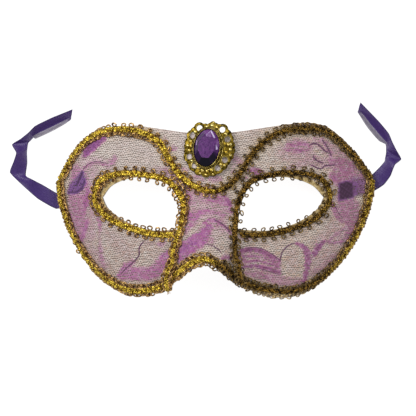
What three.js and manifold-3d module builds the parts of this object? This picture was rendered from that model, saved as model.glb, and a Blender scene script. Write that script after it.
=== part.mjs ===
import * as THREE from "three";
import { mergeVertices } from "three/addons/utils/BufferGeometryUtils.js";
import Module from "manifold-3d";

const wasm = await Module();
wasm.setup();

// Sizes are in millimetres. The mask lies face up on its side rims:
// X runs across it, Y towards the forehead, Z out of the face.

// Form of the face, measured at the outside of the lace
const FACE_HEIGHT = 32.45;
const WRAP_RADIUS = 170;
const HALF_WIDTH = 93;
const FOREHEAD_RADIUS = 205;
const CHEEK_RADIUS = 500;
const SIDE_RADIUS = 45;
const NOSE_RISE = 17;
const NOSE_HALF_WIDTH = 20;
const EYE_HOLLOW = 3.5;
const FACE_TILT = -0.005;
const TIE_ARCH = 2.2;
const LEFT_TIE_Y = 6;
const RIGHT_TIE_Y = 16.5;

// Sheets, from the outside in
const LACE_THICKNESS = 0.3;
const GLUE_GAP = 0.3;
const SHELL_THICKNESS = 0.8;

// Gold looped braid
const BRAID_HALF_WIDTH = 3.2;
const BRAID_CORE = 1.2;
const BRAID_LOOP_HEIGHT = 1;
const BRAID_HEIGHT = 2.4;
const BRAID_CLEARANCE = 0.45;
const BRAID_STEP = 5;
const RIM_MARGIN = 2.4;

// Satin ties
const RIBBON_WIDTH = 9.5;
const RIBBON_THICKNESS = 0.3;

// Jewel
const STONE_HALF_WIDTH = 7.4;
const STONE_HALF_HEIGHT = 10.9;
const PLATE_HALF_WIDTH = 14.4;
const PLATE_HALF_HEIGHT = 15.4;
const PLATE_THICKNESS = 1.4;
const HOLE_RADIUS = 1.8;

// Moves the middle of the outline to the frame's origin
const FRAME_SHIFT = new THREE.Vector3(-0.28, -1.24, 0);

// Lines on the face: [distance from the middle, height, hand-made shift to the right]
const UPPER_BRAID = [
  [93.2, 19.1, 0.3], [84.7, 31.9, -0.9], [75.1, 41.8, -1.2], [65, 46.6, 0.9],
  [53, 47.3, 0.4], [41, 45.2, 0.8], [31, 39.4, 1.2], [24.2, 30.3, 0], [18.5, 21.3, 0],
  [10.1, 13.4, 1.2], [0, 10.2, 2],
];
const LOWER_BRAID = [
  [94.5, 16.1, 0.3], [92, 1.9, 0.2], [86.1, -14.3, -0.2], [76.9, -28.9, -0.5],
  [66, -40.2, -0.4], [54, -47.1, 0.2], [44, -48.8, -0.2], [28.5, -46, -0.4],
  [19.2, -40.5, -1.9], [8.1, -32.1, -1.3], [0, -29, -1],
];
const EYE_BRAID = [
  [17.9, -31, -2.1], [17.7, -25.6, -2.1], [15.5, -10.8, -0.1], [15.3, -2.3, 0.9],
  [16.4, 5.1, 1.2], [24.2, 16.1, 0.3], [38.4, 20.4, -0.5], [54.3, 20.9, -0.6],
  [66.5, 16.4, 0], [70, 6, 0], [63, -4.4, 0.3], [47.6, -11.7, 0.4], [32.2, -15, 0.6],
  [20.6, -15.2, -0.6],
];
const STEM_START = { left: [-21.4, -47.6, -22.2, -41], right: [17.6, -43.8, 16.4, -38] };
const FOREHEAD_EDGE = [[44, 49.8], [30, 47.5], [15, 45.2], [0, 44]];
const EYE_TOP = [[66.4, 6.8, 0.6], [59.9, 13.9, 0.2], [42, 18.8, -0.3], [23.9, 13.6, 0.4],
  [17.2, 2.7, 1], [17.4, -11.9, 0]];
const EYE_BOTTOM = [[17.4, -11.9, 0], [34.4, -12.6, 0.3], [51.4, -7.6, 0.6], [63, 0.4, 0.5],
  [66.4, 6.8, 0.6]];

// Ties: [x, y, degrees off flat, swing of the cross line, held to the wall (1) or on the floor (0)]
const LEFT_TIE = [
  [-79, 14.2, 0, 0, 1], [-86, 11.4, 0, 0, 1], [-91.5, 7.4, 0, 0, 0.45], [-96.5, 5.4, 0, 0, 0],
  [-102, 7.8, 0, 0, 0], [-108.2, 11, 0, 0, 0], [-113, 14, -4, 0, 0], [-117, 17.6, -12, 0, 0],
  [-119.8, 22.6, -18, 0, 0], [-119.2, 28.6, -32, 0, 0], [-118, 33.4, -44, 0, 0],
  [-116.8, 37.4, -14, 24, 0], [-113.6, 42.4, -46, 0, 0], [-109, 46.6, -40, 0, 0],
  [-103, 50.4, -36, 0, 0], [-96, 54, -40, 0, 0], [-87.6, 58, -48, 0, 0],
];
const RIGHT_TIE = [
  [74.5, 11, 0, 0, 1], [82, 12.6, 0, 0, 1], [89.5, 15, 0, 0, 0.5], [95.7, 15.9, 0, 0, 0],
  [99.6, 18.8, 6, 0, 0], [103, 22, 20, 0, 0], [105.8, 26, 34, 0, 0],
  [108.2, 30.4, 12, -22, 0], [107, 36, 56, 0, 0], [103.6, 41, 42, 0, 0],
  [99.9, 45.6, 34, 0, 0], [95.7, 50.4, 34, 0, 0], [91.5, 55.4, 40, 0, 0], [87.6, 60.6, 50, 0, 0],
];

function ease(t) {
  const c = Math.min(1, Math.max(0, t));
  return c * c * (3 - 2 * c);
}

// Height of the lace's outer face over the table at one place of the mask
function faceHeight(x, y) {
  const side = Math.abs(x);
  const wrap = WRAP_RADIUS - Math.sqrt(WRAP_RADIUS ** 2 - side ** 2);
  const edge = (side / HALF_WIDTH) ** 4;
  const bend = y > 8 ? 1 / FOREHEAD_RADIUS : 1 / CHEEK_RADIUS;
  const roll = ((y - 8) ** 2 / 2) * (bend * (1 - edge) + edge / SIDE_RADIUS);
  const nose = NOSE_RISE * ease((20 - y) / 55) * Math.exp(-((side / NOSE_HALF_WIDTH) ** 2.6));
  const eye = EYE_HOLLOW * Math.exp(-(((side - 43) / 26) ** 2) - ((y + 1) / 15) ** 2);
  const tieY = x < 0 ? LEFT_TIE_Y : RIGHT_TIE_Y;
  const arch = TIE_ARCH * Math.exp(-(((y - tieY) / 8) ** 2)) * ease((side - 70) / 20);
  return FACE_HEIGHT - wrap - roll + nose - eye + arch + FACE_TILT * x;
}

function faceNormal(x, y) {
  const d = 0.05;
  const sx = (faceHeight(x + d, y) - faceHeight(x - d, y)) / (2 * d);
  const sy = (faceHeight(x, y + d) - faceHeight(x, y - d)) / (2 * d);
  return new THREE.Vector3(-sx, -sy, 1).normalize();
}

// A point at a distance off the face, out of it when positive
function offFace(x, y, distance) {
  const p = new THREE.Vector3(x, y, faceHeight(x, y));
  return p.addScaledVector(faceNormal(x, y), distance);
}

function smoothLine(points) {
  return new THREE.CatmullRomCurve3(points, false, "centripetal");
}

function onSide([x, y, shift = 0], side) {
  return new THREE.Vector3(side * x + shift, y, 0);
}

// Left end, middle, right end, from the points of one half
function acrossMask(half) {
  const left = half.map((p) => onSide(p, -1));
  const right = half.slice(0, -1).map((p) => onSide(p, 1));
  left[left.length - 1] = onSide([0, half[half.length - 1][1], half[half.length - 1][2]], 1);
  return smoothLine([...left, ...right.reverse()]);
}

const upperLine = acrossMask(UPPER_BRAID);
const lowerLine = acrossMask(LOWER_BRAID);

// The closed surface through rings of the same count, with both ends filled from a ring's point
function solidThroughRings(rings, hub) {
  const n = rings[0].length;
  const positions = rings.flat().flatMap((p) => [p.x, p.y, p.z]);
  const faces = [];
  for (let i = 0; i + 1 < rings.length; i++) {
    for (let j = 0; j < n; j++) {
      const a = i * n + j;
      const b = i * n + ((j + 1) % n);
      faces.push(a, b, b + n, a, b + n, a + n);
    }
  }
  const last = (rings.length - 1) * n;
  for (let j = 1; j + 1 < n; j++) {
    const b = (hub + j) % n;
    const c = (hub + j + 1) % n;
    faces.push(hub, c, b, last + hub, last + b, last + c);
  }
  const geometry = new THREE.BufferGeometry();
  geometry.setAttribute("position", new THREE.Float32BufferAttribute(positions, 3));
  geometry.setIndex(faces);
  return geometry;
}

function toManifold(geometry) {
  const plain = geometry.clone();
  plain.deleteAttribute("normal");
  plain.deleteAttribute("uv");
  const merged = mergeVertices(plain, 1e-4);
  const mesh = new wasm.Mesh({
    numProp: 3,
    vertProperties: new Float32Array(merged.attributes.position.array),
    triVerts: new Uint32Array(merged.index.array),
  });
  return new wasm.Manifold(mesh);
}

function fromManifold(solid) {
  const mesh = solid.getMesh();
  const geometry = new THREE.BufferGeometry();
  geometry.setAttribute("position", new THREE.Float32BufferAttribute(mesh.vertProperties, 3));
  geometry.setIndex(Array.from(mesh.triVerts));
  return geometry;
}

// Outline of both sheets: the braids' lines set out by the rim margin, and the bare forehead edge
function setOut(line, from, to, count) {
  const points = [];
  for (let i = 0; i <= count; i++) {
    const u = from + ((to - from) * i) / count;
    const p = line.getPointAt(u);
    const t = line.getTangentAt(u).multiplyScalar(Math.sign(to - from));
    points.push(new THREE.Vector2(p.x - t.y * RIM_MARGIN, p.y + t.x * RIM_MARGIN));
  }
  return points;
}

function sheetOutline() {
  const forehead = [
    ...FOREHEAD_EDGE.map((p) => onSide(p, -1)),
    ...FOREHEAD_EDGE.slice(0, -1).reverse().map((p) => onSide(p, 1)),
  ];
  const loop = [
    ...setOut(upperLine, 0.005, 0.23, 11),
    ...smoothLine(forehead).getSpacedPoints(10).map((p) => new THREE.Vector2(p.x, p.y)),
    ...setOut(upperLine, 0.77, 0.995, 11),
    ...setOut(lowerLine, 0.995, 0.005, 56),
  ];
  const shape = new THREE.Shape(loop.reverse());
  for (const side of [-1, 1]) {
    const top = smoothLine(EYE_TOP.map((p) => onSide(p, side))).getSpacedPoints(18);
    const bottom = smoothLine(EYE_BOTTOM.map((p) => onSide(p, side))).getSpacedPoints(11);
    const rim = [...top, ...bottom.slice(1, -1)].map((p) => new THREE.Vector2(p.x, p.y));
    shape.holes.push(new THREE.Path(rim));
  }
  return shape;
}

const outlinePrism = new THREE.ExtrudeGeometry(sheetOutline(), { depth: 90, bevelEnabled: false });
outlinePrism.translate(0, 0, -25);
const outlineSolid = toManifold(outlinePrism);

// Net lines of the sheets: close together over the nose, wider over the cheeks
function netLines(fine, step, end, wide) {
  const lines = [];
  for (let x = -end; x < -fine - 0.1; x += wide) lines.push(x);
  for (let x = -fine; x < fine + 0.1; x += step) lines.push(x);
  for (let x = fine + wide; x < end + 0.1; x += wide) lines.push(x);
  return lines;
}

// One sheet of the mask between two depths under the lace's outer face. Both faces are split
// along the same diagonals, so that neighbouring sheets stay parallel.
function sheet(outer, inner) {
  const xs = netLines(36, 4.5, 101, 9.3);
  const ys = netLines(57, 6, 57, 6);
  const n = xs.length;
  const places = ys.flatMap((y) => xs.map((x) => [x, y]));
  const points = [
    ...places.map(([x, y]) => offFace(x, y, -outer)),
    ...places.map(([x, y]) => offFace(x, y, -inner)),
  ];
  const under = places.length;
  const faces = [];
  for (let row = 0; row + 1 < ys.length; row++) {
    for (let k = row * n; k + 1 < (row + 1) * n; k++) {
      const cell = [k, k + 1, k + n + 1, k, k + n + 1, k + n];
      faces.push(...cell, ...cell.map((v) => v + under).reverse());
    }
  }
  const border = [];
  for (let k = 0; k < n; k++) border.push(k);
  for (let row = 1; row < ys.length; row++) border.push(row * n + n - 1);
  for (let k = n - 2; k >= 0; k--) border.push((ys.length - 1) * n + k);
  for (let row = ys.length - 2; row > 0; row--) border.push(row * n);
  border.forEach((a, i) => {
    const b = border[(i + 1) % border.length];
    faces.push(a, a + under, b + under, a, b + under, b);
  });
  const geometry = new THREE.BufferGeometry();
  const positions = points.flatMap((p) => [p.x, p.y, p.z]);
  geometry.setAttribute("position", new THREE.Float32BufferAttribute(positions, 3));
  geometry.setIndex(faces);
  return fromManifold(toManifold(geometry).intersect(outlineSolid));
}

// Section of the braid: flat loops on both sides of a twisted core
const BRAID_SECTION = [
  [BRAID_HALF_WIDTH, BRAID_CLEARANCE], [BRAID_HALF_WIDTH, BRAID_LOOP_HEIGHT],
  [BRAID_CORE, BRAID_HEIGHT], [-BRAID_CORE, BRAID_HEIGHT],
  [-BRAID_HALF_WIDTH, BRAID_LOOP_HEIGHT], [-BRAID_HALF_WIDTH, BRAID_CLEARANCE],
];

function braid(line, lift = () => 0) {
  const length = line.getLength();
  const count = Math.round(length / BRAID_STEP);
  const rings = [];
  for (let i = 0; i <= count; i++) {
    const p = line.getPointAt(i / count);
    const t = line.getTangentAt(i / count);
    const raised = lift((length * i) / count);
    const normal = faceNormal(p.x, p.y);
    const ahead = new THREE.Vector3(t.x, t.y, -(normal.x * t.x + normal.y * t.y) / normal.z);
    const across = normal.clone().cross(ahead).normalize();
    rings.push(BRAID_SECTION.map(([a, up]) =>
      offFace(p.x + across.x * a, p.y + across.y * a, raised + up)));
  }
  return solidThroughRings(rings, 0);
}

// The eye braid starts over the lower braid, runs up beside the nose and once round the eye
function eyeBraid(side) {
  const [x0, y0, x1, y1] = side < 0 ? STEM_START.left : STEM_START.right;
  const start = [new THREE.Vector3(x0, y0, 0), new THREE.Vector3(x1, y1, 0)];
  const line = smoothLine([...start, ...EYE_BRAID.map((p) => onSide(p, side))]);
  return braid(line, (along) => 2.6 * ease((17 - along) / 5.5));
}

// Jewel: scalloped pierced plate with a stepped oval cup, and the stone in it
function ovalRing(outer, inner, low, high, segments = 15) {
  const shape = new THREE.Shape();
  shape.absellipse(0, 0, outer[0], outer[1], 0, 2 * Math.PI);
  if (inner) {
    const hole = new THREE.Path();
    hole.absellipse(0, 0, inner[0], inner[1], 0, 2 * Math.PI);
    shape.holes.push(hole);
  }
  const geometry = new THREE.ExtrudeGeometry(shape, {
    depth: high - low, bevelEnabled: false, curveSegments: segments,
  });
  return geometry.translate(0, 0, low);
}

const HOLE_PLACES = [31, 59, 121, 149, 211, 239, 301, 329].map((d) => (d * Math.PI) / 180);

function platePoint(angle) {
  const wave = 0.75 * Math.cos(12 * angle);
  const crest = 2.2 * Math.exp(-(((angle - Math.PI / 2) / 0.1) ** 2));
  const x = (PLATE_HALF_WIDTH + wave) * Math.cos(angle);
  const y = (PLATE_HALF_HEIGHT + wave + crest) * Math.sin(angle);
  return new THREE.Vector2(x, y);
}

function setting() {
  const outline = [];
  for (let i = 0; i < 72; i++) outline.push(platePoint((i * Math.PI) / 36));
  const shape = new THREE.Shape(outline);
  for (const angle of HOLE_PLACES) {
    const hole = new THREE.Path();
    const x = (PLATE_HALF_WIDTH - 2.2) * Math.cos(angle);
    const y = (PLATE_HALF_HEIGHT - 2.2) * Math.sin(angle);
    hole.absarc(x, y, HOLE_RADIUS, 0, 2 * Math.PI);
    shape.holes.push(hole);
  }
  const plate = new THREE.ExtrudeGeometry(shape, {
    depth: PLATE_THICKNESS, bevelEnabled: false, curveSegments: 5,
  });
  const w = STONE_HALF_WIDTH;
  const h = STONE_HALF_HEIGHT;
  let solid = toManifold(plate);
  solid = solid.add(toManifold(ovalRing([w + 1.9, h + 1.6], null, -0.8, 1.9)));
  solid = solid.add(toManifold(ovalRing([w + 1.1, h + 0.9], null, 1.5, 3.1)));
  solid = solid.subtract(toManifold(ovalRing([w + 0.35, h + 0.35], null, 0.4, 4)));
  return fromManifold(solid);
}

// Faceted oval stone: girdle, bevelled crown and a large flat table over a shallow back
function stone() {
  const levels = [
    [0.55, 0.75], [1, 2.3], [1, 3.0], [0.86, 4.3], [0.66, 5.2],
  ];
  const rings = levels.map(([scale, z], level) => {
    const ring = [];
    for (let i = 0; i < 12; i++) {
      const angle = ((i + (level === 3 ? 0.5 : 0)) * Math.PI) / 6;
      const x = scale * STONE_HALF_WIDTH * Math.cos(angle);
      const y = scale * STONE_HALF_HEIGHT * Math.sin(angle);
      ring.push(new THREE.Vector3(x, y, z));
    }
    return ring;
  });
  return solidThroughRings(rings, 0);
}

function placeJewel(geometry) {
  const base = offFace(0.4, 36, 1.6);
  const turn = new THREE.Euler((-5 * Math.PI) / 180, (-5 * Math.PI) / 180, (-6 * Math.PI) / 180);
  geometry.applyMatrix4(new THREE.Matrix4().makeRotationFromEuler(turn));
  return geometry.translate(base.x, base.y, base.z);
}

// A tie: its tab follows the inside wall, the rest lies on the table and banks in its curls
function tie(stations) {
  const line = smoothLine(stations.map(([x, y]) => new THREE.Vector3(x, y, 0)));
  const spans = stations.length - 1;
  const count = 2 * spans;
  const half = RIBBON_WIDTH / 2;
  const rings = [];
  for (let i = 0; i <= count; i++) {
    const at = Math.min(Math.floor(i / 2), spans - 1);
    const part = i / 2 - at;
    const [bank, swing, hold] = [2, 3, 4].map((k) =>
      stations[at][k] + (stations[at + 1][k] - stations[at][k]) * part);
    const p = line.getPoint(i / count);
    const t = line.getTangent(i / count);
    const heading = Math.atan2(t.y, t.x) + Math.PI / 2 + (swing * Math.PI) / 180;
    const tilt = (bank * Math.PI) / 180;
    const edges = [-1, 1].map((end) => {
      const reach = end * half * Math.cos(tilt);
      const x = p.x + reach * Math.cos(heading);
      const y = p.y + reach * Math.sin(heading);
      const floor = 0.2 + half * Math.abs(Math.sin(tilt)) + end * half * Math.sin(tilt);
      const wall = faceHeight(x, y) - 2.6;
      return new THREE.Vector3(x, y, floor + (wall - floor) * hold);
    });
    const across = edges[1].clone().sub(edges[0]).normalize();
    const up = new THREE.Vector3(t.x, t.y, 0).cross(across).normalize();
    const skin = up.multiplyScalar(RIBBON_THICKNESS / 2);
    rings.push([
      edges[0].clone().sub(skin), edges[1].clone().sub(skin),
      edges[1].clone().add(skin), edges[0].clone().add(skin),
    ]);
  }
  return solidThroughRings(rings, 0);
}



const PIECES = {
  mask_shell: { color: 0xdcd3c2, roughness: 0.35, metalness: 0 },
  lace_cover: { color: 0xc9a3c6, roughness: 0.9, metalness: 0 },
  braid_upper: { color: 0xb8912a, roughness: 0.4, metalness: 0.7 },
  braid_lower: { color: 0xb8912a, roughness: 0.4, metalness: 0.7 },
  braid_eye_left: { color: 0xb8912a, roughness: 0.4, metalness: 0.7 },
  braid_eye_right: { color: 0xb8912a, roughness: 0.4, metalness: 0.7 },
  jewel_setting: { color: 0xc79f2c, roughness: 0.25, metalness: 0.9 },
  jewel_stone: { color: 0x5a2d8c, roughness: 0.05, metalness: 0 },
  ribbon_left: { color: 0x3f2d7c, roughness: 0.45, metalness: 0 },
  ribbon_right: { color: 0x3f2d7c, roughness: 0.45, metalness: 0 },
};

const laceInner = LACE_THICKNESS;
const shellOuter = laceInner + GLUE_GAP;
const SHAPES = {
  mask_shell: sheet(shellOuter, shellOuter + SHELL_THICKNESS),
  lace_cover: sheet(0, laceInner),
  braid_upper: braid(upperLine),
  braid_lower: braid(lowerLine),
  braid_eye_left: eyeBraid(-1),
  braid_eye_right: eyeBraid(1),
  jewel_setting: placeJewel(setting()),
  jewel_stone: placeJewel(stone()),
  ribbon_left: tie(LEFT_TIE),
  ribbon_right: tie(RIGHT_TIE),
};

const mask = new THREE.Group();
mask.name = "masquerade_mask";
for (const [name, look] of Object.entries(PIECES)) {
  const geometry = SHAPES[name];
  geometry.computeVertexNormals();
  geometry.translate(FRAME_SHIFT.x, FRAME_SHIFT.y, FRAME_SHIFT.z);
  const mesh = new THREE.Mesh(geometry, new THREE.MeshStandardMaterial(look));
  mesh.name = name;
  mask.add(mesh);
}

export default mask;
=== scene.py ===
import math
import random

import bpy
import numpy as np
from mathutils import Euler, Matrix, Vector


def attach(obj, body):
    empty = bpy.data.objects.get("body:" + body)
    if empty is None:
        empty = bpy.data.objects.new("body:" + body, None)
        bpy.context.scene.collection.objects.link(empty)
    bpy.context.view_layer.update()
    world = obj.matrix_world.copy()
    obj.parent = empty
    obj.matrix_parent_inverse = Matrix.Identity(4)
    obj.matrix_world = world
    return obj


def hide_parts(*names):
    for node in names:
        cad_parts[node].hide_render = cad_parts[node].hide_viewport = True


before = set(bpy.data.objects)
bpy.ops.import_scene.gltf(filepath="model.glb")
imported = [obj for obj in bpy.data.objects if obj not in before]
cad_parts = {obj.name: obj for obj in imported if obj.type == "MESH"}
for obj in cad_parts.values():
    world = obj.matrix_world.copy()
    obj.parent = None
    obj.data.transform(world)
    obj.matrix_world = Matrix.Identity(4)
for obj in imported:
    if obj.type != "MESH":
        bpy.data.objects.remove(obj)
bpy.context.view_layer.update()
bpy.ops.object.select_all(action="DESELECT")

# The base
# The real piece is one thin sheet of clear plastic with a faint frost, cut to the outline and
# pressed over a face form while warm. The eye openings are cut through it.

# Form of the face in millimetres, measured at the outside of the lace
FACE_HEIGHT = 32.45
WRAP_RADIUS = 170
WRAP_LIMIT = 168
HALF_WIDTH = 93
BROW_Y = 8
FOREHEAD_RADIUS = 205
CHEEK_RADIUS = 500
SIDE_RADIUS = 45
NOSE_RISE = 17
NOSE_TOP_Y = 20
NOSE_RUN = 55
NOSE_HALF_WIDTH = 20
EYE_HOLLOW = 3.5
EYE_MIDDLE = (43, -1)
EYE_SPREAD = (26, 15)
FACE_TILT = -0.005
TIE_ARCH = 2.2
TIE_ARCH_START = 70
LEFT_TIE_Y = 6
RIGHT_TIE_Y = 16.5
FRAME_SHIFT = (-0.28, -1.24, 0)

# The sheet is cut this far outside the middle of the braid, and a little farther at two places on
# the right
RIM_MARGIN = 2.4
WIDE_MARGIN = 1.3
BROW_WIDE_X = 55
CHEEK_WIDE_X = 40
SHELL_OUTER = 0.6
SHELL_INNER = 1.4
BLANK_WIDTH = 202
BLANK_LENGTH = 114
SHEET_CELL = 1.25
LINE_STEP = 0.8

# Lines on the face: distance from the middle, height, shift to the right
UPPER_BRAID = [
    (93.2, 19.1, 0.3), (84.7, 31.9, -0.9), (75.1, 41.8, -1.2), (65, 46.6, 0.9), (53, 47.3, 0.4),
    (41, 45.2, 0.8), (31, 39.4, 1.2), (24.2, 30.3, 0), (18.5, 21.3, 0), (10.1, 13.4, 1.2),
    (0, 10.2, 2),
]
LOWER_BRAID = [
    (94.5, 16.1, 0.3), (92, 1.9, 0.2), (86.1, -14.3, -0.2), (76.9, -28.9, -0.5),
    (66, -40.2, -0.4), (54, -47.1, 0.2), (44, -48.8, -0.2), (28.5, -46, -0.4),
    (19.2, -40.5, -1.9), (8.1, -32.1, -1.3), (0, -29, -1),
]
FOREHEAD_EDGE = [(44, 49.8), (30, 47.5), (15, 45.2), (0, 44)]
EYE_TOP = [
    (66.4, 6.8, 0.6), (59.9, 13.9, 0.2), (42, 18.8, -0.3), (23.9, 13.6, 0.4), (17.2, 2.7, 1),
    (17.4, -11.9, 0),
]
EYE_BOTTOM = [
    (17.4, -11.9, 0), (34.4, -12.6, 0.3), (51.4, -7.6, 0.6), (63, 0.4, 0.5), (66.4, 6.8, 0.6),
]


def ease(t):
    c = np.clip(t, 0, 1)
    return c * c * (3 - 2 * c)


def face_height(x, y):
    """Height of the lace's outer face over the table, in millimetres."""
    side = np.minimum(np.abs(x), WRAP_LIMIT)
    wrap = WRAP_RADIUS - np.sqrt(WRAP_RADIUS**2 - side**2)
    edge = (side / HALF_WIDTH) ** 4
    bend = np.where(y > BROW_Y, 1 / FOREHEAD_RADIUS, 1 / CHEEK_RADIUS)
    roll = (y - BROW_Y) ** 2 / 2 * (bend * (1 - edge) + edge / SIDE_RADIUS)
    bridge = np.exp(-((side / NOSE_HALF_WIDTH) ** 2.6))
    nose = NOSE_RISE * ease((NOSE_TOP_Y - y) / NOSE_RUN) * bridge
    out, up = (side - EYE_MIDDLE[0]) / EYE_SPREAD[0], (y - EYE_MIDDLE[1]) / EYE_SPREAD[1]
    eye = EYE_HOLLOW * np.exp(-(out**2) - up**2)
    tie_y = np.where(x < 0, LEFT_TIE_Y, RIGHT_TIE_Y)
    arch = TIE_ARCH * np.exp(-(((y - tie_y) / 8) ** 2)) * ease((side - TIE_ARCH_START) / 20)
    return FACE_HEIGHT - wrap - roll + nose - eye + arch + FACE_TILT * x


def unit(vectors):
    return vectors / np.linalg.norm(vectors, axis=-1, keepdims=True)


def face_normal(x, y):
    d = 0.05
    sx = (face_height(x + d, y) - face_height(x - d, y)) / (2 * d)
    sy = (face_height(x, y + d) - face_height(x, y - d)) / (2 * d)
    return unit(np.stack([-sx, -sy, np.ones_like(sx)], -1))


def off_face(x, y, distance):
    """Points in metres at a distance off the lace's outer face, out of it when positive."""
    x = np.asarray(x, float)
    y = np.asarray(y, float)
    away = np.broadcast_to(np.asarray(distance, float), x.shape)[..., None]
    point = np.stack([x, y, face_height(x, y)], -1) + face_normal(x, y) * away
    return (point + FRAME_SHIFT) * 0.001


def spline(points, steps=24):
    """A smooth curve through points, with this many steps between two of them."""
    p = np.array(points, float)
    p = np.vstack([2 * p[0] - p[1], p, 2 * p[-1] - p[-2]])
    t = np.arange(steps)[:, None] / steps
    out = []
    for a, b, c, d in zip(p, p[1:], p[2:], p[3:]):
        k1, k2, k3 = (
            max(np.linalg.norm((v - u)[:2]), 1e-6) ** 0.5 for u, v in ((a, b), (b, c), (c, d)))
        m1 = ((b - a) / k1 - (c - a) / (k1 + k2) + (c - b) / k2) * k2
        m2 = ((c - b) / k2 - (d - b) / (k2 + k3) + (d - c) / k3) * k2
        square, cube = 3 * (c - b) - 2 * m1 - m2, 2 * (b - c) + m1 + m2
        out.append(b + m1 * t + square * t**2 + cube * t**3)
    return np.vstack(out + [p[-2:-1]])


def way_along(line):
    """How far along a line each of its points lies."""
    return np.concatenate([[0], np.cumsum(np.linalg.norm(np.diff(line, axis=0), axis=1))])


def even_line(points, step):
    """The smooth curve with its points a step apart."""
    fine = spline(points)[:, :2]
    way = way_along(fine)
    places = np.linspace(0, way[-1], max(2, round(way[-1] / step)) + 1)
    return np.stack([np.interp(places, way, v) for v in fine.T], -1)


def left_of(line):
    """The direction to the left of a flat line's way, at each of its points."""
    ahead = unit(np.gradient(line, axis=0))
    return np.stack([-ahead[:, 1], ahead[:, 0]], -1)


def on_side(points, side):
    return [(side * p[0] + (p[2] if len(p) > 2 else 0), p[1]) for p in points]


def across_mask(half):
    """Left end, middle, right end, from the points of one half."""
    left = on_side(half, -1)
    left[-1] = on_side(half[-1:], 1)[0]
    return left + on_side(half[:-1], 1)[::-1]


def set_out(line, start, end, wide_x):
    """Part of a line moved out to the left of its way, farther round one place on the right."""
    last = len(line) - 1
    first_cut, last_cut = sorted((round(start * last), round(end * last)))
    part = line[first_cut:last_cut + 1]
    if end < start:
        part = part[::-1]
    margin = RIM_MARGIN + WIDE_MARGIN * np.exp(-(((part[:, 0] - wide_x) / 15) ** 2))
    return part + margin[:, None] * left_of(part)


upper_line = even_line(across_mask(UPPER_BRAID), LINE_STEP)
lower_line = even_line(across_mask(LOWER_BRAID), LINE_STEP)
forehead = on_side(FOREHEAD_EDGE, -1) + on_side(FOREHEAD_EDGE[:-1], 1)[::-1]
rim = np.vstack([
    set_out(upper_line, 0.005, 0.23, BROW_WIDE_X),
    even_line(forehead, LINE_STEP),
    set_out(upper_line, 0.77, 0.995, BROW_WIDE_X),
    set_out(lower_line, 0.995, 0.005, CHEEK_WIDE_X),
])
eye_rims = []
for side in (-1, 1):
    top, bottom = (even_line(on_side(half, side), LINE_STEP) for half in (EYE_TOP, EYE_BOTTOM))
    eye_rims.append(np.vstack([top, bottom[1:-1]]))


class Finish:
    """A material, with the steps that its colours, gloss and relief are worked out in.

    A step takes plain values or what other steps give.
    """

    def __init__(self, name, **plain):
        self.material = bpy.data.materials.new(name)
        self.material.use_nodes = True
        self.tree = self.material.node_tree
        self.shader = self.tree.nodes["Principled BSDF"]
        for key, value in plain.items():
            self.shader.inputs[key.replace("_", " ")].default_value = value

    def step(self, kind, output, inputs=None, **settings):
        """What one new node gives."""
        made = self.tree.nodes.new("ShaderNode" + kind)
        for key, value in settings.items():
            setattr(made, key, value)
        for key, value in (inputs or {}).items():
            if isinstance(value, bpy.types.NodeSocket):
                self.tree.links.new(value, made.inputs[key])
            else:
                made.inputs[key].default_value = value
        return made.outputs[output]

    def gives(self, socket, value):
        """Leads a worked-out value to the shader."""
        self.tree.links.new(value, self.shader.inputs[socket])

    def place(self):
        return self.step("TexCoord", "Object")

    def cloth_place(self, name):
        return self.step("UVMap", "UV", uv_map=name)

    def own(self, name):
        """The value that the piece's points or faces hold under a name."""
        return self.step("Attribute", "Fac", attribute_name=name)

    def parts_of(self, vector):
        return self.step("SeparateXYZ", 0, {0: vector}).node.outputs

    def stretched(self, vector, scale):
        """A place with its three directions stretched, for marks that run one way."""
        return self.step("Mapping", "Vector", {"Vector": vector, "Scale": scale})

    def noise(self, vector, scale, detail=2.0, roughness=0.5):
        return self.step("TexNoise", "Fac", {
            "Vector": vector, "Scale": scale, "Detail": detail, "Roughness": roughness})

    def between(self, value, low, high, start=0.0, end=1.0):
        """Maps a value's range to another, held at its ends."""
        return self.step("MapRange", "Result", {
            "Value": value, "From Min": low, "From Max": high, "To Min": start, "To Max": end})

    def maths(self, operation, first, second=0.0):
        return self.step("Math", 0, {0: first, 1: second}, operation=operation)

    def blend(self, share, first, second):
        """Mixes two colours."""
        colours = [(*c, 1) if isinstance(c, tuple) else c for c in (first, second)]
        return self.step("Mix", 2, {0: share, 6: colours[0], 7: colours[1]}, data_type="RGBA")

    def tint(self, base, colour, value, low, high, start=0.0, end=1.0):
        """Blends a second colour into the first as a value goes from low to high."""
        return self.blend(self.between(value, low, high, start, end), base, colour)

    def relief(self, height, strength, distance):
        self.gives("Normal", self.step("Bump", "Normal", {
            "Height": height, "Strength": strength, "Distance": distance}))


def only(piece):
    bpy.ops.object.select_all(action="DESELECT")
    bpy.context.view_layer.objects.active = piece
    piece.select_set(True)


def worked_on(piece, kind, **settings):
    """Puts a modifier on a piece and applies it."""
    only(piece)
    modifier = piece.modifiers.new(kind.lower(), kind)
    for key, value in settings.items():
        setattr(modifier, key, value)
    bpy.ops.object.modifier_apply(modifier=modifier.name)


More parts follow.
